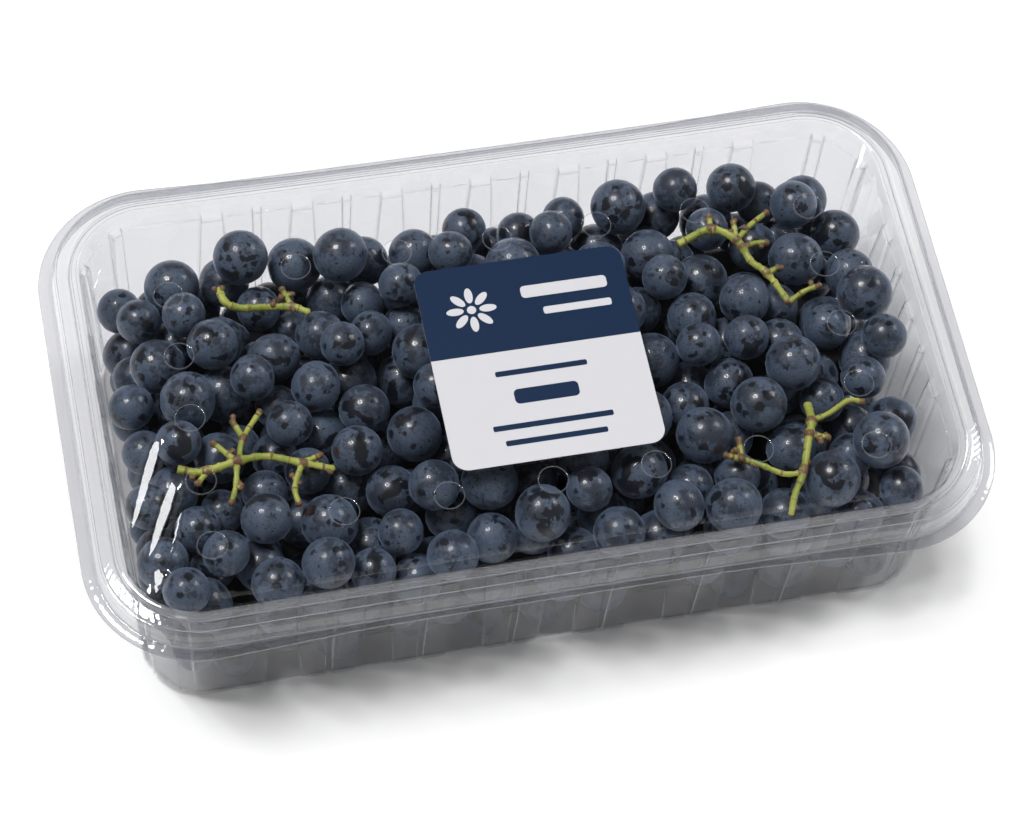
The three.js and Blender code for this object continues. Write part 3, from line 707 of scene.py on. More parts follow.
def rounded_box(low, high, radii):
    """Outline of a rectangle with one corner radius for each corner, anticlockwise from front left."""
    signs = ((-1, -1), (1, -1), (1, 1), (-1, 1))
    points = []
    for quarter, ((sx, sy), radius) in enumerate(zip(signs, radii)):
        corner = np.array([high[0] if sx > 0 else low[0], high[1] if sy > 0 else low[1]])
        if radius == 0:
            points.append(corner)
            continue
        turn = (quarter + 2 + np.linspace(0, 1, CORNER_STEPS + 1)) * math.pi / 2
        middle = corner - np.array([sx, sy]) * radius
        points += list(middle + radius * np.stack([np.cos(turn), np.sin(turn)], axis=-1))
    return np.array(points)


def slab(outline, low, high):
    """A flat plate: the outline at two heights, joined by a band and shut by fans from its middle."""
    count = len(outline)
    middle = outline.mean(axis=0)
    layers = [np.column_stack([outline, np.full(count, z)]) for z in (low, high)]
    points = np.vstack([*layers, [[*middle, low], [*middle, high]]])
    ring = np.arange(count)
    triangles = np.vstack([fan_faces(ring, 2 * count, flip=True), fan_faces(ring + count, 2 * count + 1)])
    return points, grid_faces(2, count), triangles


def join(parts):
    """Several (points, quads, triangles) as one."""
    points, quads, triangles, start = [], [], [], 0
    for p, q, t in parts:
        points.append(p)
        quads.append(q + start)
        triangles.append(t + start)
        start += len(p)
    return np.vstack(points), [np.vstack(quads), np.vstack(triangles)]


def bar_outline(x, y, width, height):
    """A bar with round corners, from its middle and size."""
    half = np.array([width, height]) / 2
    middle = np.array([x, y])
    return rounded_box(middle - half, middle + half, [min(height, width) * BAR_CORNER] * 4)


def label_bars(low, high, split):
    """Dark bars on the white part, centred: a thick one and three thin ones."""
    middle = (low[0] + high[0]) / 2
    depth = split - low[1]
    return [bar_outline(middle, low[1] + share * depth, *size) for share, *size in WHITE_BARS]


def label_marks(low, high, split):
    """Pale marks on the navy part: a ring of petals round an eye at the left and two bars at the right."""
    middle = (split + high[1]) / 2
    flower = np.array([low[0] + FLOWER_INSET, middle])
    turn = np.linspace(0, 2 * math.pi, ROUND_STEPS, endpoint=False)
    marks = []
    for k in range(PETALS):
        angle = k * 2 * math.pi / PETALS
        along = np.array([math.cos(angle), math.sin(angle)])
        across = np.array([-along[1], along[0]])
        length = np.outer(np.cos(turn), along) * PETAL_LENGTH
        marks.append(flower + along * PETAL_OUT + length + np.outer(np.sin(turn), across) * PETAL_WIDTH)
    marks.append(flower + FLOWER_EYE * np.stack([np.cos(turn), np.sin(turn)], axis=-1))
    marks += [bar_outline(high[0] - left, middle + up, *size) for left, up, *size in NAVY_BARS]
    return marks


# ---- the stalks ----
STALK_SIDES = 12
STALK_STEP = 0.45  # distance between two rings
STALK_SLIM = 0.86  # the stalks' thickness as a share of the solid ones
ROUTE_SHARE = 0.05  # steps between two points of a route, as a share of the way
MAIN_TAPER = 0.25  # how much thinner the main stem is at its end
STUBS, STUB_LENGTHS, STUB_THICKNESS = 10, (1.5, 2.4), 0.8  # short broken stubs on each sprig
JOINT_SWELL, JOINT_WIDTH = 0.45, 1.0
KNOT_SWELL, KNOT_PITCH, KNOT_PLACE, KNOT_WIDTH = 0.22, 3.7, 1.8, 0.3
LUMP_LARGE, LUMP_SMALL, STALK_WOBBLE = 0.07, 0.05, 0.07
# Lengths over which a tip swells and closes, and the square of what is left of it at its end.
TIP_WIDTH, TIP_CLOSE, TIP_END = 0.9, 0.35, 0.15
JOINT_BROWN, JOINT_BROWN_WIDTH, KNOT_BROWN, TIP_BROWN_WIDTH = 0.75, 0.9, 3.0, 1.5


def smooth_route(route):
    """A smooth curve through a route's points: cubic pieces whose slopes are those between the points
    on either side, sampled at even steps."""
    points = np.array(route, float)
    ends = np.vstack([2 * points[0] - points[1], points, 2 * points[-1] - points[-2]])
    curve = []
    for before, a, b, after in zip(ends, ends[1:], ends[2:], ends[3:]):
        t = np.arange(0, 1, ROUTE_SHARE)[:, None]
        slope_a, slope_b = (b - before) / 2, (after - a) / 2
        curve.append(
            (2 * t**3 - 3 * t**2 + 1) * a + (t**3 - 2 * t**2 + t) * slope_a
            + (3 * t**2 - 2 * t**3) * b + (t**3 - t**2) * slope_b
        )
    curve = np.vstack([*curve, points[-1:]])
    along = np.r_[0, np.cumsum(np.linalg.norm(np.diff(curve, axis=0), axis=1))]
    count = max(int(along[-1] / STALK_STEP), 4)
    even = np.linspace(0, along[-1], count + 1)
    return np.stack([np.interp(even, along, curve[:, k]) for k in range(3)], axis=-1), even


def tube(path, radius):
    """Rings of points square to a path, at a radius for each ring, shut by fans at both ends."""
    ahead = np.gradient(path, axis=0)
    ahead /= np.linalg.norm(ahead, axis=1, keepdims=True)
    side = cross_unit(np.broadcast_to((0.0, 0.0, 1.0), ahead.shape), ahead)
    up = np.cross(ahead, side)
    turn = np.arange(STALK_SIDES) / STALK_SIDES * 2 * math.pi
    round_dir = side[:, None] * np.cos(turn)[None, :, None] + up[:, None] * np.sin(turn)[None, :, None]
    wobble = 1 + STALK_WOBBLE * np.sin(3 * turn[None, :] + 0.7 * np.arange(len(path))[:, None] ** 0.5)
    rings = path[:, None] + round_dir * (radius[:, None] * wobble)[..., None]
    points = np.vstack([rings.reshape(-1, 3), path[:1], path[-1:]])
    ring = np.arange(STALK_SIDES)
    last = (len(path) - 1) * STALK_SIDES
    count = len(path) * STALK_SIDES
    triangles = np.vstack([fan_faces(ring, count, flip=True), fan_faces(ring + last, count + 1)])
    return points, grid_faces(len(path), STALK_SIDES), triangles


def sprig_surface(routes, random):
    """A sprig: tubes along smooth routes, thicker where twigs join and swollen at each tip, with short
    broken stubs beside them. Also gives how brown each point is."""
    parts, browns = [], []
    joints = np.array([route[0] for route in routes[1:]], float)
    stubs = []
    for _ in range(STUBS):
        route = smooth_route(routes[random.integers(len(routes))])[0]
        root = route[random.integers(2, len(route) - 2)]
        out = random.normal(size=3) * (1, 1, 0.4)
        stubs.append((root, root + out / np.linalg.norm(out) * random.uniform(*STUB_LENGTHS)))
    for number, route in enumerate([*routes, *stubs]):
        path, along = smooth_route(route)
        from_end = along[-1] - along
        is_main, is_stub = number == 0, number >= len(routes)
        if is_main:
            base = STALK_MAIN * (1 - MAIN_TAPER * along / along[-1])
        else:
            base = STALK_TWIG * np.ones(len(path))
        if is_stub:
            base = base * STUB_THICKNESS
        joint = distances(path, joints).min(axis=1)
        swell = JOINT_SWELL * hill(joint, JOINT_WIDTH)
        knots = KNOT_SWELL * hill(np.mod(along + number, KNOT_PITCH) - KNOT_PLACE, KNOT_WIDTH)
        lumps = LUMP_LARGE * np.sin(along * 2.3 + number) + LUMP_SMALL * np.sin(along * 5.1)
        tip = 0 if is_main else (STALK_TIP / STALK_TWIG - 1) * hill(from_end, TIP_WIDTH)
        close = np.sqrt(np.clip(from_end / TIP_CLOSE, TIP_END, 1))
        radius = STALK_SLIM * base * (1 + swell + knots + lumps + tip) * close
        parts.append(tube(path, radius))
        brown = JOINT_BROWN * hill(joint, JOINT_BROWN_WIDTH) + KNOT_BROWN * knots
        if not is_main:
            brown = brown + hill(from_end, TIP_BROWN_WIDTH)
        browns.append(np.r_[np.repeat(brown, STALK_SIDES), brown[0], brown[-1]])
    points, faces = join(parts)
    return points, faces, np.clip(np.concatenate(browns), 0, 1)


# ---- the berries ----
BERRY_COLUMNS, BERRY_ROWS = 24, 13
BERRY_DEEP = 16.0  # berries above this height are made
BERRY_BY_WALL = 2.0  # and lower ones within this many radii of a wall
BERRY_FIT = 0.985  # a berry's radius as a share of its room in the heap
BERRY_STRETCH, BERRY_SWELL = 0.05, 0.008  # how much slimmer than long it may be, and its swellings' size
DIMPLE_DEPTH, DIMPLE_WIDTH = 0.05, 0.24  # as shares of the radius
AXIS_DOWN, AXIS_LIFT = 0.9, 0.25  # how far the axes lean down
TIP_NEAR = 3.2  # a stalk's tip holds a berry whose skin is this near
SKIN_SPREAD = 500  # how far apart the berries' patterns lie
# The dark core, a near-black stand-in that paints the shade deep in the heap: its step along the rim's
# outline, its inset and bottom, and each ring's inset and height beyond those.
CORE_STEP, CORE_INSET, CORE_BOTTOM = 2.0, 13.5, 3.0
CORE_RINGS = ((3.0, 0.0), (0.6, 1.2), (0.0, 4.0), (1.0, 9.0), (4.0, 12.0))


def seeded(seed):
    """Numbers from 0 to 1: each state is 1664525 times the last plus 1013904223, modulo two to the 32."""
    state = seed
    while True:
        state = (1664525 * state + 1013904223) % 2**32
        yield state / 2**32


def heap_top(x, y):
    """Height that the heap reaches: level, and lower towards the two back corners."""
    corner = max(y / HEAP_BACK, 0) * ((x * x) / (HEAP_END * HEAP_END))
    return HEAP_TOP - HEAP_CORNER_DROP * corner * corner


def inside_walls(x, y, z, radius):
    """Whether a berry of a radius fits inside the walls."""
    half_x, half_y = SHELF_LENGTH / 2, SHELF_WIDTH / 2
    over_x = abs(x) - (half_x - SHELF_RADIUS)
    over_y = abs(y) - (half_y - SHELF_RADIUS)
    room_x = half_x - HEAP_SHORT + HEAP_SHORT_LEAN * z - radius
    room_y = half_y - HEAP_LONG + HEAP_LONG_LEAN * z - radius
    room_corner = SHELF_RADIUS - HEAP_CORNER + HEAP_LONG_LEAN * z - radius
    if abs(x) > room_x or abs(y) > room_y:
        return False
    return over_x <= 0 or over_y <= 0 or over_x * over_x + over_y * over_y <= room_corner * room_corner


def stalk_lengths():
    """Start and run of every straight length of all stalk routes."""
    pairs = [(a, b) for routes in SPRIGS.values() for route in routes for a, b in zip(route, route[1:])]
    starts = np.array([a for a, _ in pairs], float)
    return starts, np.array([b for _, b in pairs], float) - starts


def pack_berries():
    """Drops berries one by one, each into the lowest place where its size can lie, until none fits.

    Every place is a cell of a square grid, and each size has its own map of resting heights."""
    random = seeded(HEAP_SEED)
    starts, runs = stalk_lengths()
    run_squares = runs[:, 0] * runs[:, 0] + runs[:, 1] * runs[:, 1] + runs[:, 2] * runs[:, 2]
    counts = [math.floor(size / HEAP_STEP) for size in (SHELF_LENGTH, SHELF_WIDTH)]
    steps_x, steps_y = [(np.arange(n) - (n - 1) / 2) * HEAP_STEP for n in counts]
    cell_x, cell_y = np.repeat(steps_x, counts[1]), np.tile(steps_y, counts[0])
    rough = np.array([next(random) * HEAP_ROUGHNESS for _ in cell_x])
    maps = [np.full(len(cell_x), SHEET + GAP + radius) for radius in BERRY_RADII]

    def fits(x, y, z, radius):
        if z + radius > heap_top(x, y) or not inside_walls(x, y, z, radius):
            return False
        reach = np.array([x, y, z]) - starts
        dots = reach[:, 0] * runs[:, 0] + reach[:, 1] * runs[:, 1] + reach[:, 2] * runs[:, 2]
        off = reach - runs * np.clip(dots / run_squares, 0, 1)[:, None]
        distance = np.sqrt(off[:, 0] * off[:, 0] + off[:, 1] * off[:, 1] + off[:, 2] * off[:, 2])
        return bool((distance >= radius + STALK_TIP + GAP).all())

    def lowest(kind):
        scores = maps[kind] + rough
        while True:
            best = int(scores.argmin())
            if scores[best] == np.inf:
                return -1
            if fits(cell_x[best], cell_y[best], maps[kind][best], BERRY_RADII[kind]):
                return best
            maps[kind][best] = scores[best] = np.inf

    berries = []
    while True:
        first = math.floor(next(random) * len(BERRY_RADII))
        for turn in range(len(BERRY_RADII)):
            kind = (first + turn) % len(BERRY_RADII)
            cell = lowest(kind)
            if cell >= 0:
                break
        else:
            return np.array(berries)
        x, y, z, size = cell_x[cell], cell_y[cell], maps[kind][cell], BERRY_RADII[kind]
        berries.append((x, y, z, size))
        away = (cell_x - x) ** 2 + (cell_y - y) ** 2
        for k, radius in enumerate(BERRY_RADII):
            reach = (size + radius) ** 2
            near = away < reach
            maps[k][near] = np.maximum(maps[k][near], z + np.sqrt(reach - away[near]))


def berry_axes(berries, random):
    """Direction from each berry's blossom end to its stalk end: towards a stalk tip close by, or else
    at random, mostly downwards."""
    tips = np.array([route[-1] for routes in SPRIGS.values() for route in routes[1:]], float)
    axes = random.normal(size=(len(berries), 3))
    axes[:, 2] = -np.abs(axes[:, 2]) * AXIS_DOWN + AXIS_LIFT
    to_tips = tips[None] - berries[:, None, :3]
    distance = np.linalg.norm(to_tips, axis=-1)
    nearest = distance.argmin(axis=1)
    close = distance.min(axis=1) < berries[:, 3] + TIP_NEAR
    axes[close] = to_tips[np.arange(len(berries)), nearest][close]
    return axes / np.linalg.norm(axes, axis=1, keepdims=True)


def berry_surface(random):
    """All berries as one mesh. Each is a globe of rows and columns about its own axis, a little longer
    than wide, with faint swellings and a dimple at the stalk end."""
    berries = pack_berries()
    shown = [z > BERRY_DEEP or not inside_walls(x, y, z, BERRY_BY_WALL * r) for x, y, z, r in berries]
    berries = berries[np.array(shown)]
    count = len(berries)
    axis = berry_axes(berries, random)
    side = cross_unit(axis, random.normal(size=(count, 3)))
    other = np.cross(axis, side)
    polar = np.linspace(0, math.pi, BERRY_ROWS + 1)[1:-1]
    turn = np.arange(BERRY_COLUMNS) / BERRY_COLUMNS * 2 * math.pi
    local = np.stack([
        np.sin(polar)[:, None] * np.cos(turn), np.sin(polar)[:, None] * np.sin(turn),
        np.cos(polar)[:, None] * np.ones(BERRY_COLUMNS),
    ], axis=-1).reshape(-1, 3)
    local = np.vstack([local, [[0, 0, 1], [0, 0, -1]]])
    stretch = random.uniform(0.0, BERRY_STRETCH, size=(count, 1))
    phase = random.uniform(0, 2 * math.pi, size=(count, 3, 1))
    x, y, z = local.T
    swell = BERRY_SWELL * np.sin(3.1 * x + phase[:, 0])
    swell = swell + BERRY_SWELL * np.sin(2.7 * y + 2.2 * z + phase[:, 1])
    dimple = DIMPLE_DEPTH * hill(np.arccos(np.clip(z, -1, 1)), DIMPLE_WIDTH)
    length = BERRY_FIT - stretch * (1 - z**2) + swell - dimple
    world = local @ np.stack([side, other, axis], axis=1)
    points = berries[:, None, :3] + world * (length * berries[:, 3:])[..., None]
    per = len(local)
    starts = np.arange(count)[:, None] * per
    quads = (grid_faces(BERRY_ROWS - 1, BERRY_COLUMNS)[:, ::-1].ravel()[None] + starts).reshape(-1, 4)
    ring = np.arange(BERRY_COLUMNS)
    last = ring + per - 2 - BERRY_COLUMNS
    caps = np.vstack([fan_faces(ring, per - 2), fan_faces(last, per - 1, flip=True)])
    caps = (caps.ravel()[None] + starts).reshape(-1, 3)
    offset = random.uniform(-SKIN_SPREAD, SKIN_SPREAD, size=(count, 1, 3))
    attributes = {
        "skin_place": (local[None] * berries[:, None, 3:] + offset).reshape(-1, 3),
        "axis_share": np.broadcast_to(z, (count, per)).reshape(-1),
        "berry_tone": np.repeat(random.uniform(0, 1, size=count), per),
        "upward": world[..., 2].reshape(-1),
    }
    return points.reshape(-1, 3), [quads, caps], attributes


def core_surface():
    """The heap's dark inside, painted shade between the berries: the rim's outline at a few insets and
    heights, smaller than the heap.
    """
    place = np.arange(0, OUTLINE, CORE_STEP)
    at, normal, _ = edge_at(place)
    rows = np.array([
        np.column_stack([at - normal * (CORE_INSET + inset), np.full(len(place), CORE_BOTTOM + up)])
        for inset, up in CORE_RINGS
    ])
    count, columns = rows.shape[:2]
    points = np.vstack([rows.reshape(-1, 3), [[0, 0, rows[0, 0, 2]], [0, 0, rows[-1, 0, 2]]]])
    first = np.arange(columns)
    caps = [
        fan_faces(first, count * columns, flip=True),
        fan_faces(first + (count - 1) * columns, count * columns + 1),
    ]
    return points, [grid_faces(count, columns), np.vstack(caps)]


# ---- materials ----
RIM_TINT = (0.78, 0.78, 0.80)  # how much of each colour the lip lets through
LINE_PAINTED_SHADE = (0.62, 0.63, 0.67)  # and the sharp bends of the rim and the sheets' cut edges: painted shade, darker lines there
# Painted light: how pale the wall's creases and the rim's bends are, and those colours, for light the bent
# sheet turns aside.
CREASE_PAINTED_LIGHT, LINE_PAINTED_LIGHT = 0.45, 0.5
CREASE_PALE, LINE_PALE = (0.58, 0.58, 0.60), (0.44, 0.46, 0.50)
RIM_SHARE = 0.8  # how much of the rim's tint shows
# Each clear sheet: its see-through colour face-on and on edge, its haze, and the share of a lamp's light
# that it lets through face-on and on edge.
TRAY_CLEAR = ((0.895, 0.895, 0.905), (0.83, 0.84, 0.86)), 0.005, (0.95, 0.35)
FILM_CLEAR = ((0.975, 0.975, 0.98), (0.87, 0.88, 0.89)), 0.0005, (0.97, 0.8)
# Noises of the berries' skin, on places in millimetres: scale, detail, roughness and distortion.
POWDER, CLOUD, SMUDGE = (1.9, 3.0, 0.65), (0.17, 2.0, 0.6, 0.4), (0.85, 3.0, 0.65, 0.5)
BARE, DOTS, FLECK_WARP = (0.15, 3.0, 0.5, 0.3), (1.3, 1.0, 0.5, 0.2), (0.9, 2.0)
FLECK_SCALE, FLECK_BEND = 0.42, 1.8  # scale of the flecks' cells, and how far the warp moves them
# Strengths between which each of them fades in.
POWDER_EDGE, RUBBED_EDGE, BARE_EDGE, DOTS_EDGE = (0.35, 0.65), (0.52, 0.70), (0.60, 0.62), (0.69, 0.72)
SCAR_BROWN, BLOSSOM_BROWN = (0.035, 0.016, 0.010), (0.02, 0.015, 0.012)
SHEEN_BLUE = (0.55, 0.7, 1.0)
# Painted shade: near-black colours of the heap's core, which stand in for the shade between the berries.
CORE_SHADE_DARK, CORE_SHADE_LIGHT = (0.004, 0.004, 0.006), (0.012, 0.012, 0.016)


class Nodes:
    """A material's node tree with short calls for the nodes that this scene uses."""

    def __init__(self, tree):
        self.tree = tree
        tree.nodes.clear()

    def add(self, kind, inputs=None, **values):
        """A node with its settings, and each input set to a value or linked to another output."""
        node = self.tree.nodes.new(kind)
        for key, value in values.items():
            setattr(node, key, value)
        for key, value in (inputs or {}).items():
            self.put(node.inputs[key], value)
        return node

    def put(self, socket, value):
        """Links a socket to another output, or sets its value."""
        if isinstance(value, bpy.types.NodeSocket):
            self.tree.links.new(value, socket)
        else:
            socket.default_value = value

    def math(self, operation, *values):
        """One Math node's result."""
        return self.add("ShaderNodeMath", dict(enumerate(values)), operation=operation).outputs[0]

    def step(self, value, low, high, to_low=0.0, to_high=1.0):
        """A smooth step of a value from low to high."""
        inputs = {"Value": value, "From Min": low, "From Max": high, "To Min": to_low, "To Max": to_high}
        return self.add("ShaderNodeMapRange", inputs, interpolation_type="SMOOTHSTEP").outputs[0]

    def mix(self, share, a, b):
        """A mix of two colours."""
        node = self.add("ShaderNodeMix", data_type="RGBA")
        for number, value in ((0, share), (6, a), (7, b)):
            self.put(node.inputs[number], value)
        return node.outputs[2]

    def noise(self, place, scale, detail=2.0, roughness=0.5, distortion=0.0):
        """A noise pattern's strength."""
        inputs = {
            "Vector": place, "Scale": scale, "Detail": detail, "Roughness": roughness,
            "Distortion": distortion,
        }
        return self.add("ShaderNodeTexNoise", inputs).outputs["Fac"]

    def attribute(self, name, output="Fac"):
        """One of the mesh's own attributes."""
        return self.add("ShaderNodeAttribute", attribute_name=name).outputs[output]

    def bump(self, height, distance):
        """A bumped normal."""
        return self.add("ShaderNodeBump", {"Height": height, "Distance": distance}).outputs[0]

    def principled(self, inputs):
        """Ends the material in a Principled shader with these inputs."""
        surface = self.add("ShaderNodeBsdfPrincipled", inputs).outputs[0]
        self.add("ShaderNodeOutputMaterial", {"Surface": surface})


def new_material(name):
    """An empty node material and its node maker."""
    material = bpy.data.materials.new(name)
    material.use_nodes = True
    return material, Nodes(material.node_tree)


def rgba(colour):
    """A colour with full alpha."""
    return (*colour[:3], 1.0)


def clear_plastic(name, roughness, ior, colours, haze, lamp_light):
    """Clear sheet: see-through, with a mirror gloss that grows at a slant. Both reflections of the sheet
    are given by its outer face, so ior may stand above the plastic's own. The see-through colour goes
    from the first to the second of colours where the sheet is seen on edge, and so does the share of a
    lamp's light that a face lets through. The rim lets less through, and haze scatters a little. Creases,
    bends and cut edges carry painted light and painted shade: pale and darker lines that stand in for the
    light that the bent sheet turns aside."""
    material, n = new_material(name)
    back = n.add("ShaderNodeNewGeometry").outputs["Backfacing"]
    crease, line, rim = n.attribute("crease"), n.attribute("line"), n.attribute("rim")
    facing = n.add("ShaderNodeLayerWeight", {"Blend": 0.5}).outputs["Facing"]
    slant = n.math("POWER", facing, 3.0)
    tint = n.mix(slant, *(rgba(colour) for colour in colours))
    tint = n.mix(n.math("MULTIPLY", rim, RIM_SHARE), tint, rgba(RIM_TINT))
    # Painted shade: a darker see-through colour along the rim's bends and the sheets' cut edges.
    tint = n.mix(line, tint, rgba(LINE_PAINTED_SHADE))
    through = n.add("ShaderNodeBsdfTransparent", {"Color": tint}).outputs[0]
    # Painted light: pale lines at the creases, the vents' edges and the bends stand in for light the bent
    # sheet turns aside; haze scatters as well.
    pale = n.mix(line, rgba(CREASE_PALE), rgba(LINE_PALE))
    milky_haze_and_painted_light = n.add("ShaderNodeBsdfDiffuse", {"Color": pale}).outputs[0]
    marks = n.math("ADD", n.math("MULTIPLY", crease, CREASE_PAINTED_LIGHT), n.math("MULTIPLY", line, LINE_PAINTED_LIGHT))
    haze_and_painted_light_share = n.math("ADD", haze, marks)
    hazy_and_painted_light = n.add("ShaderNodeMixShader", {0: haze_and_painted_light_share, 1: through, 2: milky_haze_and_painted_light}).outputs[0]
    gloss = n.add("ShaderNodeBsdfGlossy", {"Color": rgba((1, 1, 1)), "Roughness": roughness}).outputs[0]
    fresnel = n.add("ShaderNodeFresnel", {"IOR": ior}).outputs[0]
    share = n.math("MULTIPLY", fresnel, n.math("SUBTRACT", 1.0, back))
    seen = n.add("ShaderNodeMixShader", {0: share, 1: hazy_and_painted_light, 2: gloss}).outputs[0]
    let_by = n.mix(slant, *(rgba([share] * 3) for share in lamp_light))
    passed = n.add("ShaderNodeBsdfTransparent", {"Color": let_by}).outputs[0]
    path = n.add("ShaderNodeLightPath").outputs
    on_way = n.math("MAXIMUM", path["Is Shadow Ray"], path["Is Diffuse Ray"])
    mixed = n.add("ShaderNodeMixShader", {0: on_way, 1: seen, 2: passed}).outputs[0]
    n.add("ShaderNodeOutputMaterial", {"Surface": mixed})
    return material


def berry_skin(settings):
    """Waxy bloom over near-black skin: soft rubbed patches, small dark flecks, a brown ring round the
    stalk end and a dot at the blossom end."""
    material, n = new_material("berry_skin")
    place = n.attribute("skin_place", "Vector")
    tone = n.attribute("berry_tone")
    upward = n.attribute("upward")
    axis = n.attribute("axis_share")
    powder, cloud, smudge = (n.noise(place, *pattern) for pattern in (POWDER, CLOUD, SMUDGE))
    top = n.step(upward, 0.35, 0.95)
    rubbed = n.math("ADD", cloud, n.math("MULTIPLY", n.math("SUBTRACT", smudge, 0.5), 0.7))
    rubbed = n.step(n.math("ADD", rubbed, n.math("MULTIPLY", top, 0.10)), *RUBBED_EDGE)
    scale, detail = FLECK_WARP
    warp = n.add("ShaderNodeTexNoise", {"Vector": place, "Scale": scale, "Detail": detail}).outputs["Color"]
    inputs = {0: warp, 1: [FLECK_BEND] * 3, 2: place}
    moved = n.add("ShaderNodeVectorMath", inputs, operation="MULTIPLY_ADD").outputs[0]
    cells = n.add("ShaderNodeTexVoronoi", {"Vector": moved, "Scale": FLECK_SCALE}).outputs
    chance = n.add("ShaderNodeSeparateColor", {"Color": cells["Color"]}).outputs[0]
    reach = n.step(chance, 0.45, 1.0, 0.0, 0.5)
    flecks = n.step(n.math("SUBTRACT", reach, cells["Distance"]), -0.02, 0.03)
    bare = n.step(n.noise(place, *BARE), *BARE_EDGE)
    dots = n.step(n.noise(place, *DOTS), *DOTS_EDGE)
    dark = n.math("MAXIMUM", n.math("MAXIMUM", flecks, dots), bare)
    bloom = n.mix(n.step(powder, *POWDER_EDGE), rgba(settings.bloom_dark), rgba(settings.bloom))
    bloom = n.mix(n.math("MULTIPLY", tone, 0.35), bloom, rgba(settings.bloom_dark))
    colour = n.mix(n.math("MULTIPLY", rubbed, 0.8), bloom, rgba(settings.rubbed))
    colour = n.mix(n.math("MULTIPLY", dark, 0.93), colour, rgba(settings.skin))
    scar = n.step(axis, 0.962, 0.985)
    colour = n.mix(scar, colour, rgba(SCAR_BROWN))
    blossom = n.step(axis, -0.994, -0.998)
    colour = n.mix(n.math("MULTIPLY", blossom, 0.8), colour, rgba(BLOSSOM_BROWN))
    glossy = n.math("MAXIMUM", n.math("MULTIPLY", rubbed, 0.6), dark)
    roughness = n.step(glossy, 0.0, 1.0, 0.52, 0.30)
    inputs = {
        "Base Color": colour, "Roughness": roughness, "IOR": 1.4,
        "Coat Weight": settings.coat, "Coat Roughness": 0.055, "Coat IOR": 1.4,
        "Sheen Weight": settings.sheen, "Sheen Roughness": 0.4, "Sheen Tint": rgba(SHEEN_BLUE),
    }
    n.principled(inputs)
    return material


def heap_painted_shade():
    """Painted shade: the near-black between the berries, where they shade each other."""
    material, n = new_material("heap_painted_shade")
    place = n.add("ShaderNodeTexCoord").outputs["Object"]
    colour = n.mix(n.noise(place, 90.0), rgba(CORE_SHADE_DARK), rgba(CORE_SHADE_LIGHT))
    n.principled({"Base Color": colour, "Roughness": 0.8})
    return material


def stalk_skin(settings):
    """Yellow-green bark with brown joints and tips and fine brown marks."""
    material, n = new_material("stalk")
    place = n.add("ShaderNodeTexCoord").outputs["Object"]
    brown = n.attribute("brown")
    blotch = n.noise(place, 420.0, 3.0, 0.6)
    shade = n.step(n.noise(place, 120.0), 0.35, 0.65)
    green = n.mix(shade, rgba(settings.green_dark), rgba(settings.green))
    marked = n.math("ADD", brown, n.math("MULTIPLY", n.math("SUBTRACT", blotch, 0.5), 1.6))
    browned = n.step(marked, 0.28, 0.70)
    colour = n.mix(browned, green, rgba(settings.brown))
    inputs = {
        "Base Color": colour, "Roughness": 0.42, "IOR": 1.4, "Normal": n.bump(blotch, 0.0001),
    }
    n.principled(inputs)
    return material


def label_stock(name, colour, roughness):
    """Coated paper or ink: an even colour with a faint fibre grain."""
    material, n = new_material(name)
    place = n.add("ShaderNodeTexCoord").outputs["Object"]
    grain = n.noise(place, 2500.0)
    tint = n.mix(n.math("MULTIPLY", grain, 0.12), rgba(colour), rgba([c * 0.85 for c in colour]))
    inputs = {
        "Base Color": tint, "Roughness": roughness, "Specular IOR Level": 0.25,
        "Normal": n.bump(grain, 0.00001),
    }
    n.principled(inputs)
    return material


# ---- settings ----


def colour_property(name, description, default):
    """A colour that a user may change."""
    return FloatVectorProperty(
        name=name, description=description, subtype="COLOR", default=default, min=0, max=1,
    )


def share_property(name, description, default):
    """A share from 0 to 1 that a user may change."""
    return FloatProperty(name=name, description=description, default=default, min=0, max=1)


def gloss_property(default):
    """The refractive index that sets a clear sheet's gloss."""
    return FloatProperty(name="IOR", description="Gloss of the sheet", default=default, min=1, max=2)


def light_property(name, description, default):
    """A lamp's or the dome's strength."""
    return FloatProperty(name=name, description=description, default=default, min=0)


class PunnetTraySettings(bpy.types.PropertyGroup):
    """The clear tray's finish."""

    roughness: share_property("Roughness", "Roughness of the sheet", 0.03)
    ior: gloss_property(1.55)
    tick_height: FloatProperty(
        name="Mark height", description="Height of the marks on the lip",
        default=0.00018, unit="LENGTH", precision=5,
    )


class PunnetFilmSettings(bpy.types.PropertyGroup):
    """The clear film's finish."""

    roughness: share_property("Roughness", "Roughness of the film", 0.02)
    ior: gloss_property(1.75)


class PunnetBerrySettings(bpy.types.PropertyGroup):
    """The berries' colours and gloss."""

    bloom: colour_property("Bloom", "Waxy bloom", (0.074, 0.101, 0.151))
    bloom_dark: colour_property("Thin bloom", "Bloom where it is thin", (0.050, 0.069, 0.103))
    rubbed: colour_property("Rubbed", "Rubbed patches", (0.017, 0.020, 0.030))
    skin: colour_property("Bare skin", "Skin without bloom", (0.0035, 0.004, 0.0065))
    coat: share_property("Wax gloss", "Gloss of the wax", 0.45)
    sheen: share_property("Bloom sheen", "Pale rim of the bloom", 0.25)
    seed: IntProperty(name="Seed", description="Seed of the berries' shapes and marks", default=7, min=0)


class PunnetStalkSettings(bpy.types.PropertyGroup):
    """The stalks' colours."""

    green: colour_property("Green", "Fresh bark", (0.40, 0.42, 0.09))
    green_dark: colour_property("Dark green", "Shaded bark", (0.24, 0.28, 0.05))
    brown: colour_property("Brown", "Joints and tips", (0.15, 0.085, 0.045))
    seed: IntProperty(name="Seed", description="Seed of the broken stubs", default=3, min=0)


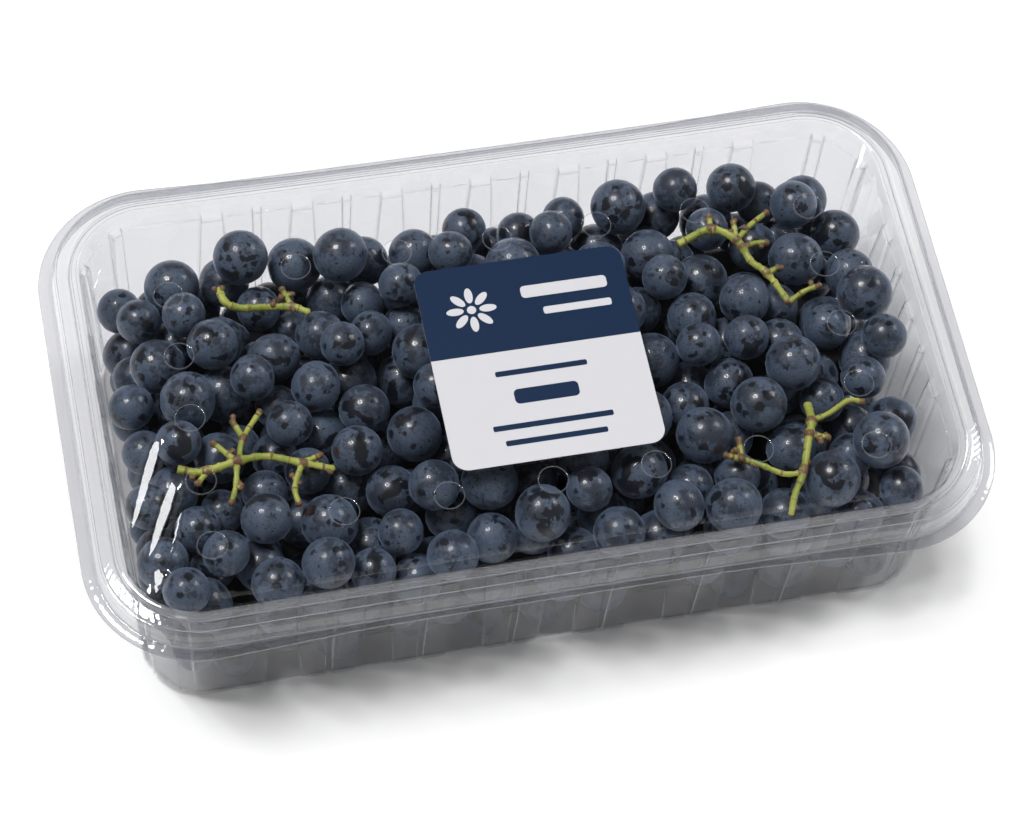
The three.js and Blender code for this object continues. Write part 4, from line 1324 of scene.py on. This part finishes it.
class PunnetLabelSettings(bpy.types.PropertyGroup):
    """The label's colours."""

    paper: colour_property("Paper", "Bare paper", (0.56, 0.555, 0.585))
    ink: colour_property("Ink", "Navy print", (0.0025, 0.016, 0.050))


class PunnetStageSettings(bpy.types.PropertyGroup):
    """Light and floor."""

    dome: light_property("Dome", "Light from all round", 0.34)
    ceiling: light_property("Ceiling", "Light from the ceiling's dark part", 0.01)
    key: light_property("Key", "Strength of the ring lamp overhead", 48.0)
    fill: light_property("Fill", "Strength of the round lamp at the right", 9.5)
    floor: share_property("Floor", "Paleness of the floor", 0.95)


# ---- operators ----


class PUNNET_OT_tray(bpy.types.Operator):
    """Build the clear, ribbed tray"""

    bl_idname = "punnet.tray"
    bl_label = "Tray"

    def execute(self, context):
        settings = context.scene.punnet_tray
        points, faces, attributes = tray_surface(settings)
        material = clear_plastic("tray_plastic", settings.roughness, settings.ior, *TRAY_CLEAR)
        make_piece("punnet_tray", points, faces, material, "tray_plastic", ["tray"], attributes)
        return {"FINISHED"}


class PUNNET_OT_film(bpy.types.Operator):
    """Build the clear film with its folds and vents"""

    bl_idname = "punnet.film"
    bl_label = "Film"

    def execute(self, context):
        settings = context.scene.punnet_film
        points, faces, attributes = thicken(*film_surface(), FILM_SHEET)
        material = clear_plastic("film_clear", settings.roughness, settings.ior, *FILM_CLEAR)
        make_piece("punnet_film", points, faces, material, "film_clear", ["film"], attributes)
        return {"FINISHED"}


class PUNNET_OT_label(bpy.types.Operator):
    """Build the paper label with its plain print"""

    bl_idname = "punnet.label"
    bl_label = "Label"

    def execute(self, context):
        settings = context.scene.punnet_label
        low, high = LABEL_LOW, LABEL_HIGH
        top = high[2] - LABEL_PRINT
        paper = slab(rounded_box(low, high, [LABEL_RADIUS] * 4), low[2], top)
        paper_stock = label_stock("label_paper", settings.paper, 0.45)
        make_piece("punnet_label", *join([paper]), paper_stock, "label_paper", ["label"], is_smooth=False)

        split = lerp(high[1], low[1], LABEL_NAVY_SHARE)
        field = slab(rounded_box((low[0], split), high, [0, 0, LABEL_RADIUS, LABEL_RADIUS]), top, high[2])
        bars = [slab(bar, top, high[2]) for bar in label_bars(low, high, split)]
        ink = label_stock("label_ink", settings.ink, 0.4)
        make_piece("punnet_label_print", *join([field, *bars]), ink, "label_ink", is_smooth=False)
        marks = [slab(mark, high[2], high[2] + LABEL_PRINT) for mark in label_marks(low, high, split)]
        make_piece("punnet_label_marks", *join(marks), paper_stock, "label_paper", is_smooth=False)
        return {"FINISHED"}


class PUNNET_OT_berries(bpy.types.Operator):
    """Build the heap of berries"""

    bl_idname = "punnet.berries"
    bl_label = "Berries"

    def execute(self, context):
        settings = context.scene.punnet_berries
        random = np.random.default_rng(settings.seed)
        points, faces, attributes = berry_surface(random)
        skin = berry_skin(settings)
        make_piece("punnet_berries", points, faces, skin, "berry_skin", ["grapes"], attributes)
        # The core's near-black colour is painted shade deep in the heap.
        make_piece("punnet_painted_shade_core", *core_surface(), heap_painted_shade(), "berry_skin")
        return {"FINISHED"}


class PUNNET_OT_stalks(bpy.types.Operator):
    """Build the sprigs of stalk"""

    bl_idname = "punnet.stalks"
    bl_label = "Stalks"

    def execute(self, context):
        settings = context.scene.punnet_stalks
        random = np.random.default_rng(settings.seed)
        material = stalk_skin(settings)
        for node, routes in SPRIGS.items():
            points, faces, brown = sprig_surface(routes, random)
            make_piece("punnet_" + node, points, faces, material, "stalk", [node], {"brown": brown})
        return {"FINISHED"}


# Directions, as (x, y, z) from the punnet, of the ring lamp, of the round lamp and of the dark part of the
# ceiling that the flat film mirrors towards the camera.
KEY_FROM = (-0.326, 0.186, 0.925)
FILL_FROM = (0.754, 0.226, 0.608)
DARK_FROM = (0.148, 0.469, 0.871)
# Angles in degrees from those directions: where the dark part ends and the dome is full, the ring lamp's
# inner and outer edge, the round lamp's edge, and half the width over which each lamp's edge fades.
DARK_ANGLES = (15.0, 27.0)
KEY_ANGLES = (4.2, 9.0)
FILL_ANGLE = 10.0
LAMP_FADE = 0.6
CAMERA_TARGET = (-3.42, -12.83, 46.6)
CAMERA_TURN, CAMERA_RISE, CAMERA_ROLL = -17.5, 60.57, 6.97
CAMERA_DISTANCE = 705.4
CAMERA_LENS = 116.79
FLOOR_SIZE = 3.0


def cosine(degrees):
    """Cosine of an angle in degrees."""
    return math.cos(math.radians(degrees))


def sky_cosine(n, direction, towards):
    """Cosine of the angle between the sky's direction and a fixed one."""
    unit = Vector(towards).normalized()
    return n.add("ShaderNodeVectorMath", {0: direction, 1: unit}, operation="DOT_PRODUCT").outputs["Value"]


def lamp_share(n, direction, towards, inner, outer):
    """1 inside a round or ring-shaped lamp in the sky and 0 outside it."""
    at = sky_cosine(n, direction, towards)
    disc = n.step(at, cosine(outer + LAMP_FADE), cosine(outer - LAMP_FADE))
    if inner == 0:
        return disc
    hole = n.step(at, cosine(inner + LAMP_FADE), cosine(inner - LAMP_FADE))
    return n.math("SUBTRACT", disc, hole)


class PUNNET_OT_stage(bpy.types.Operator):
    """Build the floor, the soft light and the camera"""

    bl_idname = "punnet.stage"
    bl_label = "Stage"

    def execute(self, context):
        settings = context.scene.punnet_stage
        scene = context.scene
        self.make_floor(settings)
        self.make_light(scene, settings)
        self.make_camera(scene)
        scene.view_settings.view_transform = "Standard"
        scene.cycles.max_bounces = 12
        scene.cycles.diffuse_bounces = 3
        scene.cycles.glossy_bounces = 3
        scene.cycles.transmission_bounces = 8
        scene.cycles.transparent_max_bounces = 24
        scene.cycles.caustics_reflective = False
        scene.cycles.caustics_refractive = False
        scene.cycles.use_denoising = True
        return {"FINISHED"}

    def make_floor(self, settings):
        """A pale square floor."""
        half = FLOOR_SIZE / 2
        mesh = bpy.data.meshes.new("floor")
        corners = [(-half, -half, 0), (half, -half, 0), (half, half, 0), (-half, half, 0)]
        mesh.from_pydata(corners, [], [range(4)])
        material, n = new_material("floor_pale")
        colour = rgba([settings.floor] * 3)
        surface = n.add("ShaderNodeBsdfDiffuse", {"Color": colour}).outputs[0]
        n.add("ShaderNodeOutputMaterial", {"Surface": surface})
        mesh.materials.append(material)
        floor = bpy.data.objects.new("floor", mesh)
        bpy.context.scene.collection.objects.link(floor)

    def make_light(self, scene, settings):
        """A pale dome with a ring-shaped lamp overhead and a round lamp at the right."""
        world = bpy.data.worlds.new("studio")
        world.use_nodes = True
        scene.world = world
        n = Nodes(world.node_tree)
        direction = n.add("ShaderNodeTexCoord").outputs["Generated"]
        key = lamp_share(n, direction, KEY_FROM, *KEY_ANGLES)
        fill = lamp_share(n, direction, FILL_FROM, 0, FILL_ANGLE)
        near, far = (cosine(angle) for angle in DARK_ANGLES)
        dome = n.step(sky_cosine(n, direction, DARK_FROM), far, near, settings.dome, settings.ceiling)
        strength = n.math("ADD", dome, n.math("MULTIPLY", key, settings.key))
        strength = n.math("ADD", strength, n.math("MULTIPLY", fill, settings.fill))
        light = n.add("ShaderNodeBackground", {"Color": rgba((1, 1, 1)), "Strength": strength}).outputs[0]
        n.add("ShaderNodeOutputWorld", {"Surface": light})

    def make_camera(self, scene):
        """A camera that looks down at the target, turned and rolled as the view asks."""
        turn, rise, roll = (math.radians(a) for a in (CAMERA_TURN, CAMERA_RISE, CAMERA_ROLL))
        back = Vector((math.sin(turn) * math.cos(rise), -math.cos(turn) * math.cos(rise), math.sin(rise)))
        right = (-back).cross(Vector((0, 0, 1))).normalized()
        up = right.cross(-back)
        right, up = (
            right * math.cos(roll) + up * math.sin(roll),
            up * math.cos(roll) - right * math.sin(roll),
        )
        data = bpy.data.cameras.new("camera")
        data.sensor_width = 36.0
        data.lens = CAMERA_LENS
        data.clip_start = 0.01
        camera = bpy.data.objects.new("camera", data)
        turned = Matrix((right, up, back)).transposed().to_4x4()
        place = (Vector(CAMERA_TARGET) + back * CAMERA_DISTANCE) * MM
        camera.matrix_world = Matrix.Translation(place) @ turned
        scene.collection.objects.link(camera)
        scene.camera = camera


class PUNNET_PT_panel(bpy.types.Panel):
    """Lists the punnet's pieces"""

    bl_idname = "PUNNET_PT_panel"
    bl_label = "Punnet of Grapes"
    bl_space_type = "VIEW_3D"
    bl_region_type = "UI"
    bl_category = "Punnet"

    def draw(self, context):
        for operator, settings in BUTTONS:
            box = self.layout.box()
            box.operator(operator.bl_idname)
            group = getattr(context.scene, settings)
            for key in group.__annotations__:
                box.prop(group, key)


SETTINGS = {
    "punnet_tray": PunnetTraySettings,
    "punnet_film": PunnetFilmSettings,
    "punnet_label": PunnetLabelSettings,
    "punnet_berries": PunnetBerrySettings,
    "punnet_stalks": PunnetStalkSettings,
    "punnet_stage": PunnetStageSettings,
}
BUTTONS = (
    (PUNNET_OT_tray, "punnet_tray"),
    (PUNNET_OT_film, "punnet_film"),
    (PUNNET_OT_label, "punnet_label"),
    (PUNNET_OT_berries, "punnet_berries"),
    (PUNNET_OT_stalks, "punnet_stalks"),
    (PUNNET_OT_stage, "punnet_stage"),
)


def register():
    """Registers the settings, the operators and the panel."""
    for name, group in SETTINGS.items():
        bpy.utils.register_class(group)
        setattr(bpy.types.Scene, name, PointerProperty(type=group))
    for operator, _ in BUTTONS:
        bpy.utils.register_class(operator)
    bpy.utils.register_class(PUNNET_PT_panel)


def unregister():
    """Takes back what register made."""
    bpy.utils.unregister_class(PUNNET_PT_panel)
    for operator, _ in reversed(BUTTONS):
        bpy.utils.unregister_class(operator)
    for name, group in reversed(SETTINGS.items()):
        delattr(bpy.types.Scene, name)
        bpy.utils.unregister_class(group)


def main():
    """Builds everything."""
    register()
    bpy.ops.punnet.stage()
    bpy.ops.punnet.tray()
    bpy.ops.punnet.film()
    bpy.ops.punnet.label()
    bpy.ops.punnet.berries()
    bpy.ops.punnet.stalks()


if __name__ == "__main__":
    main()
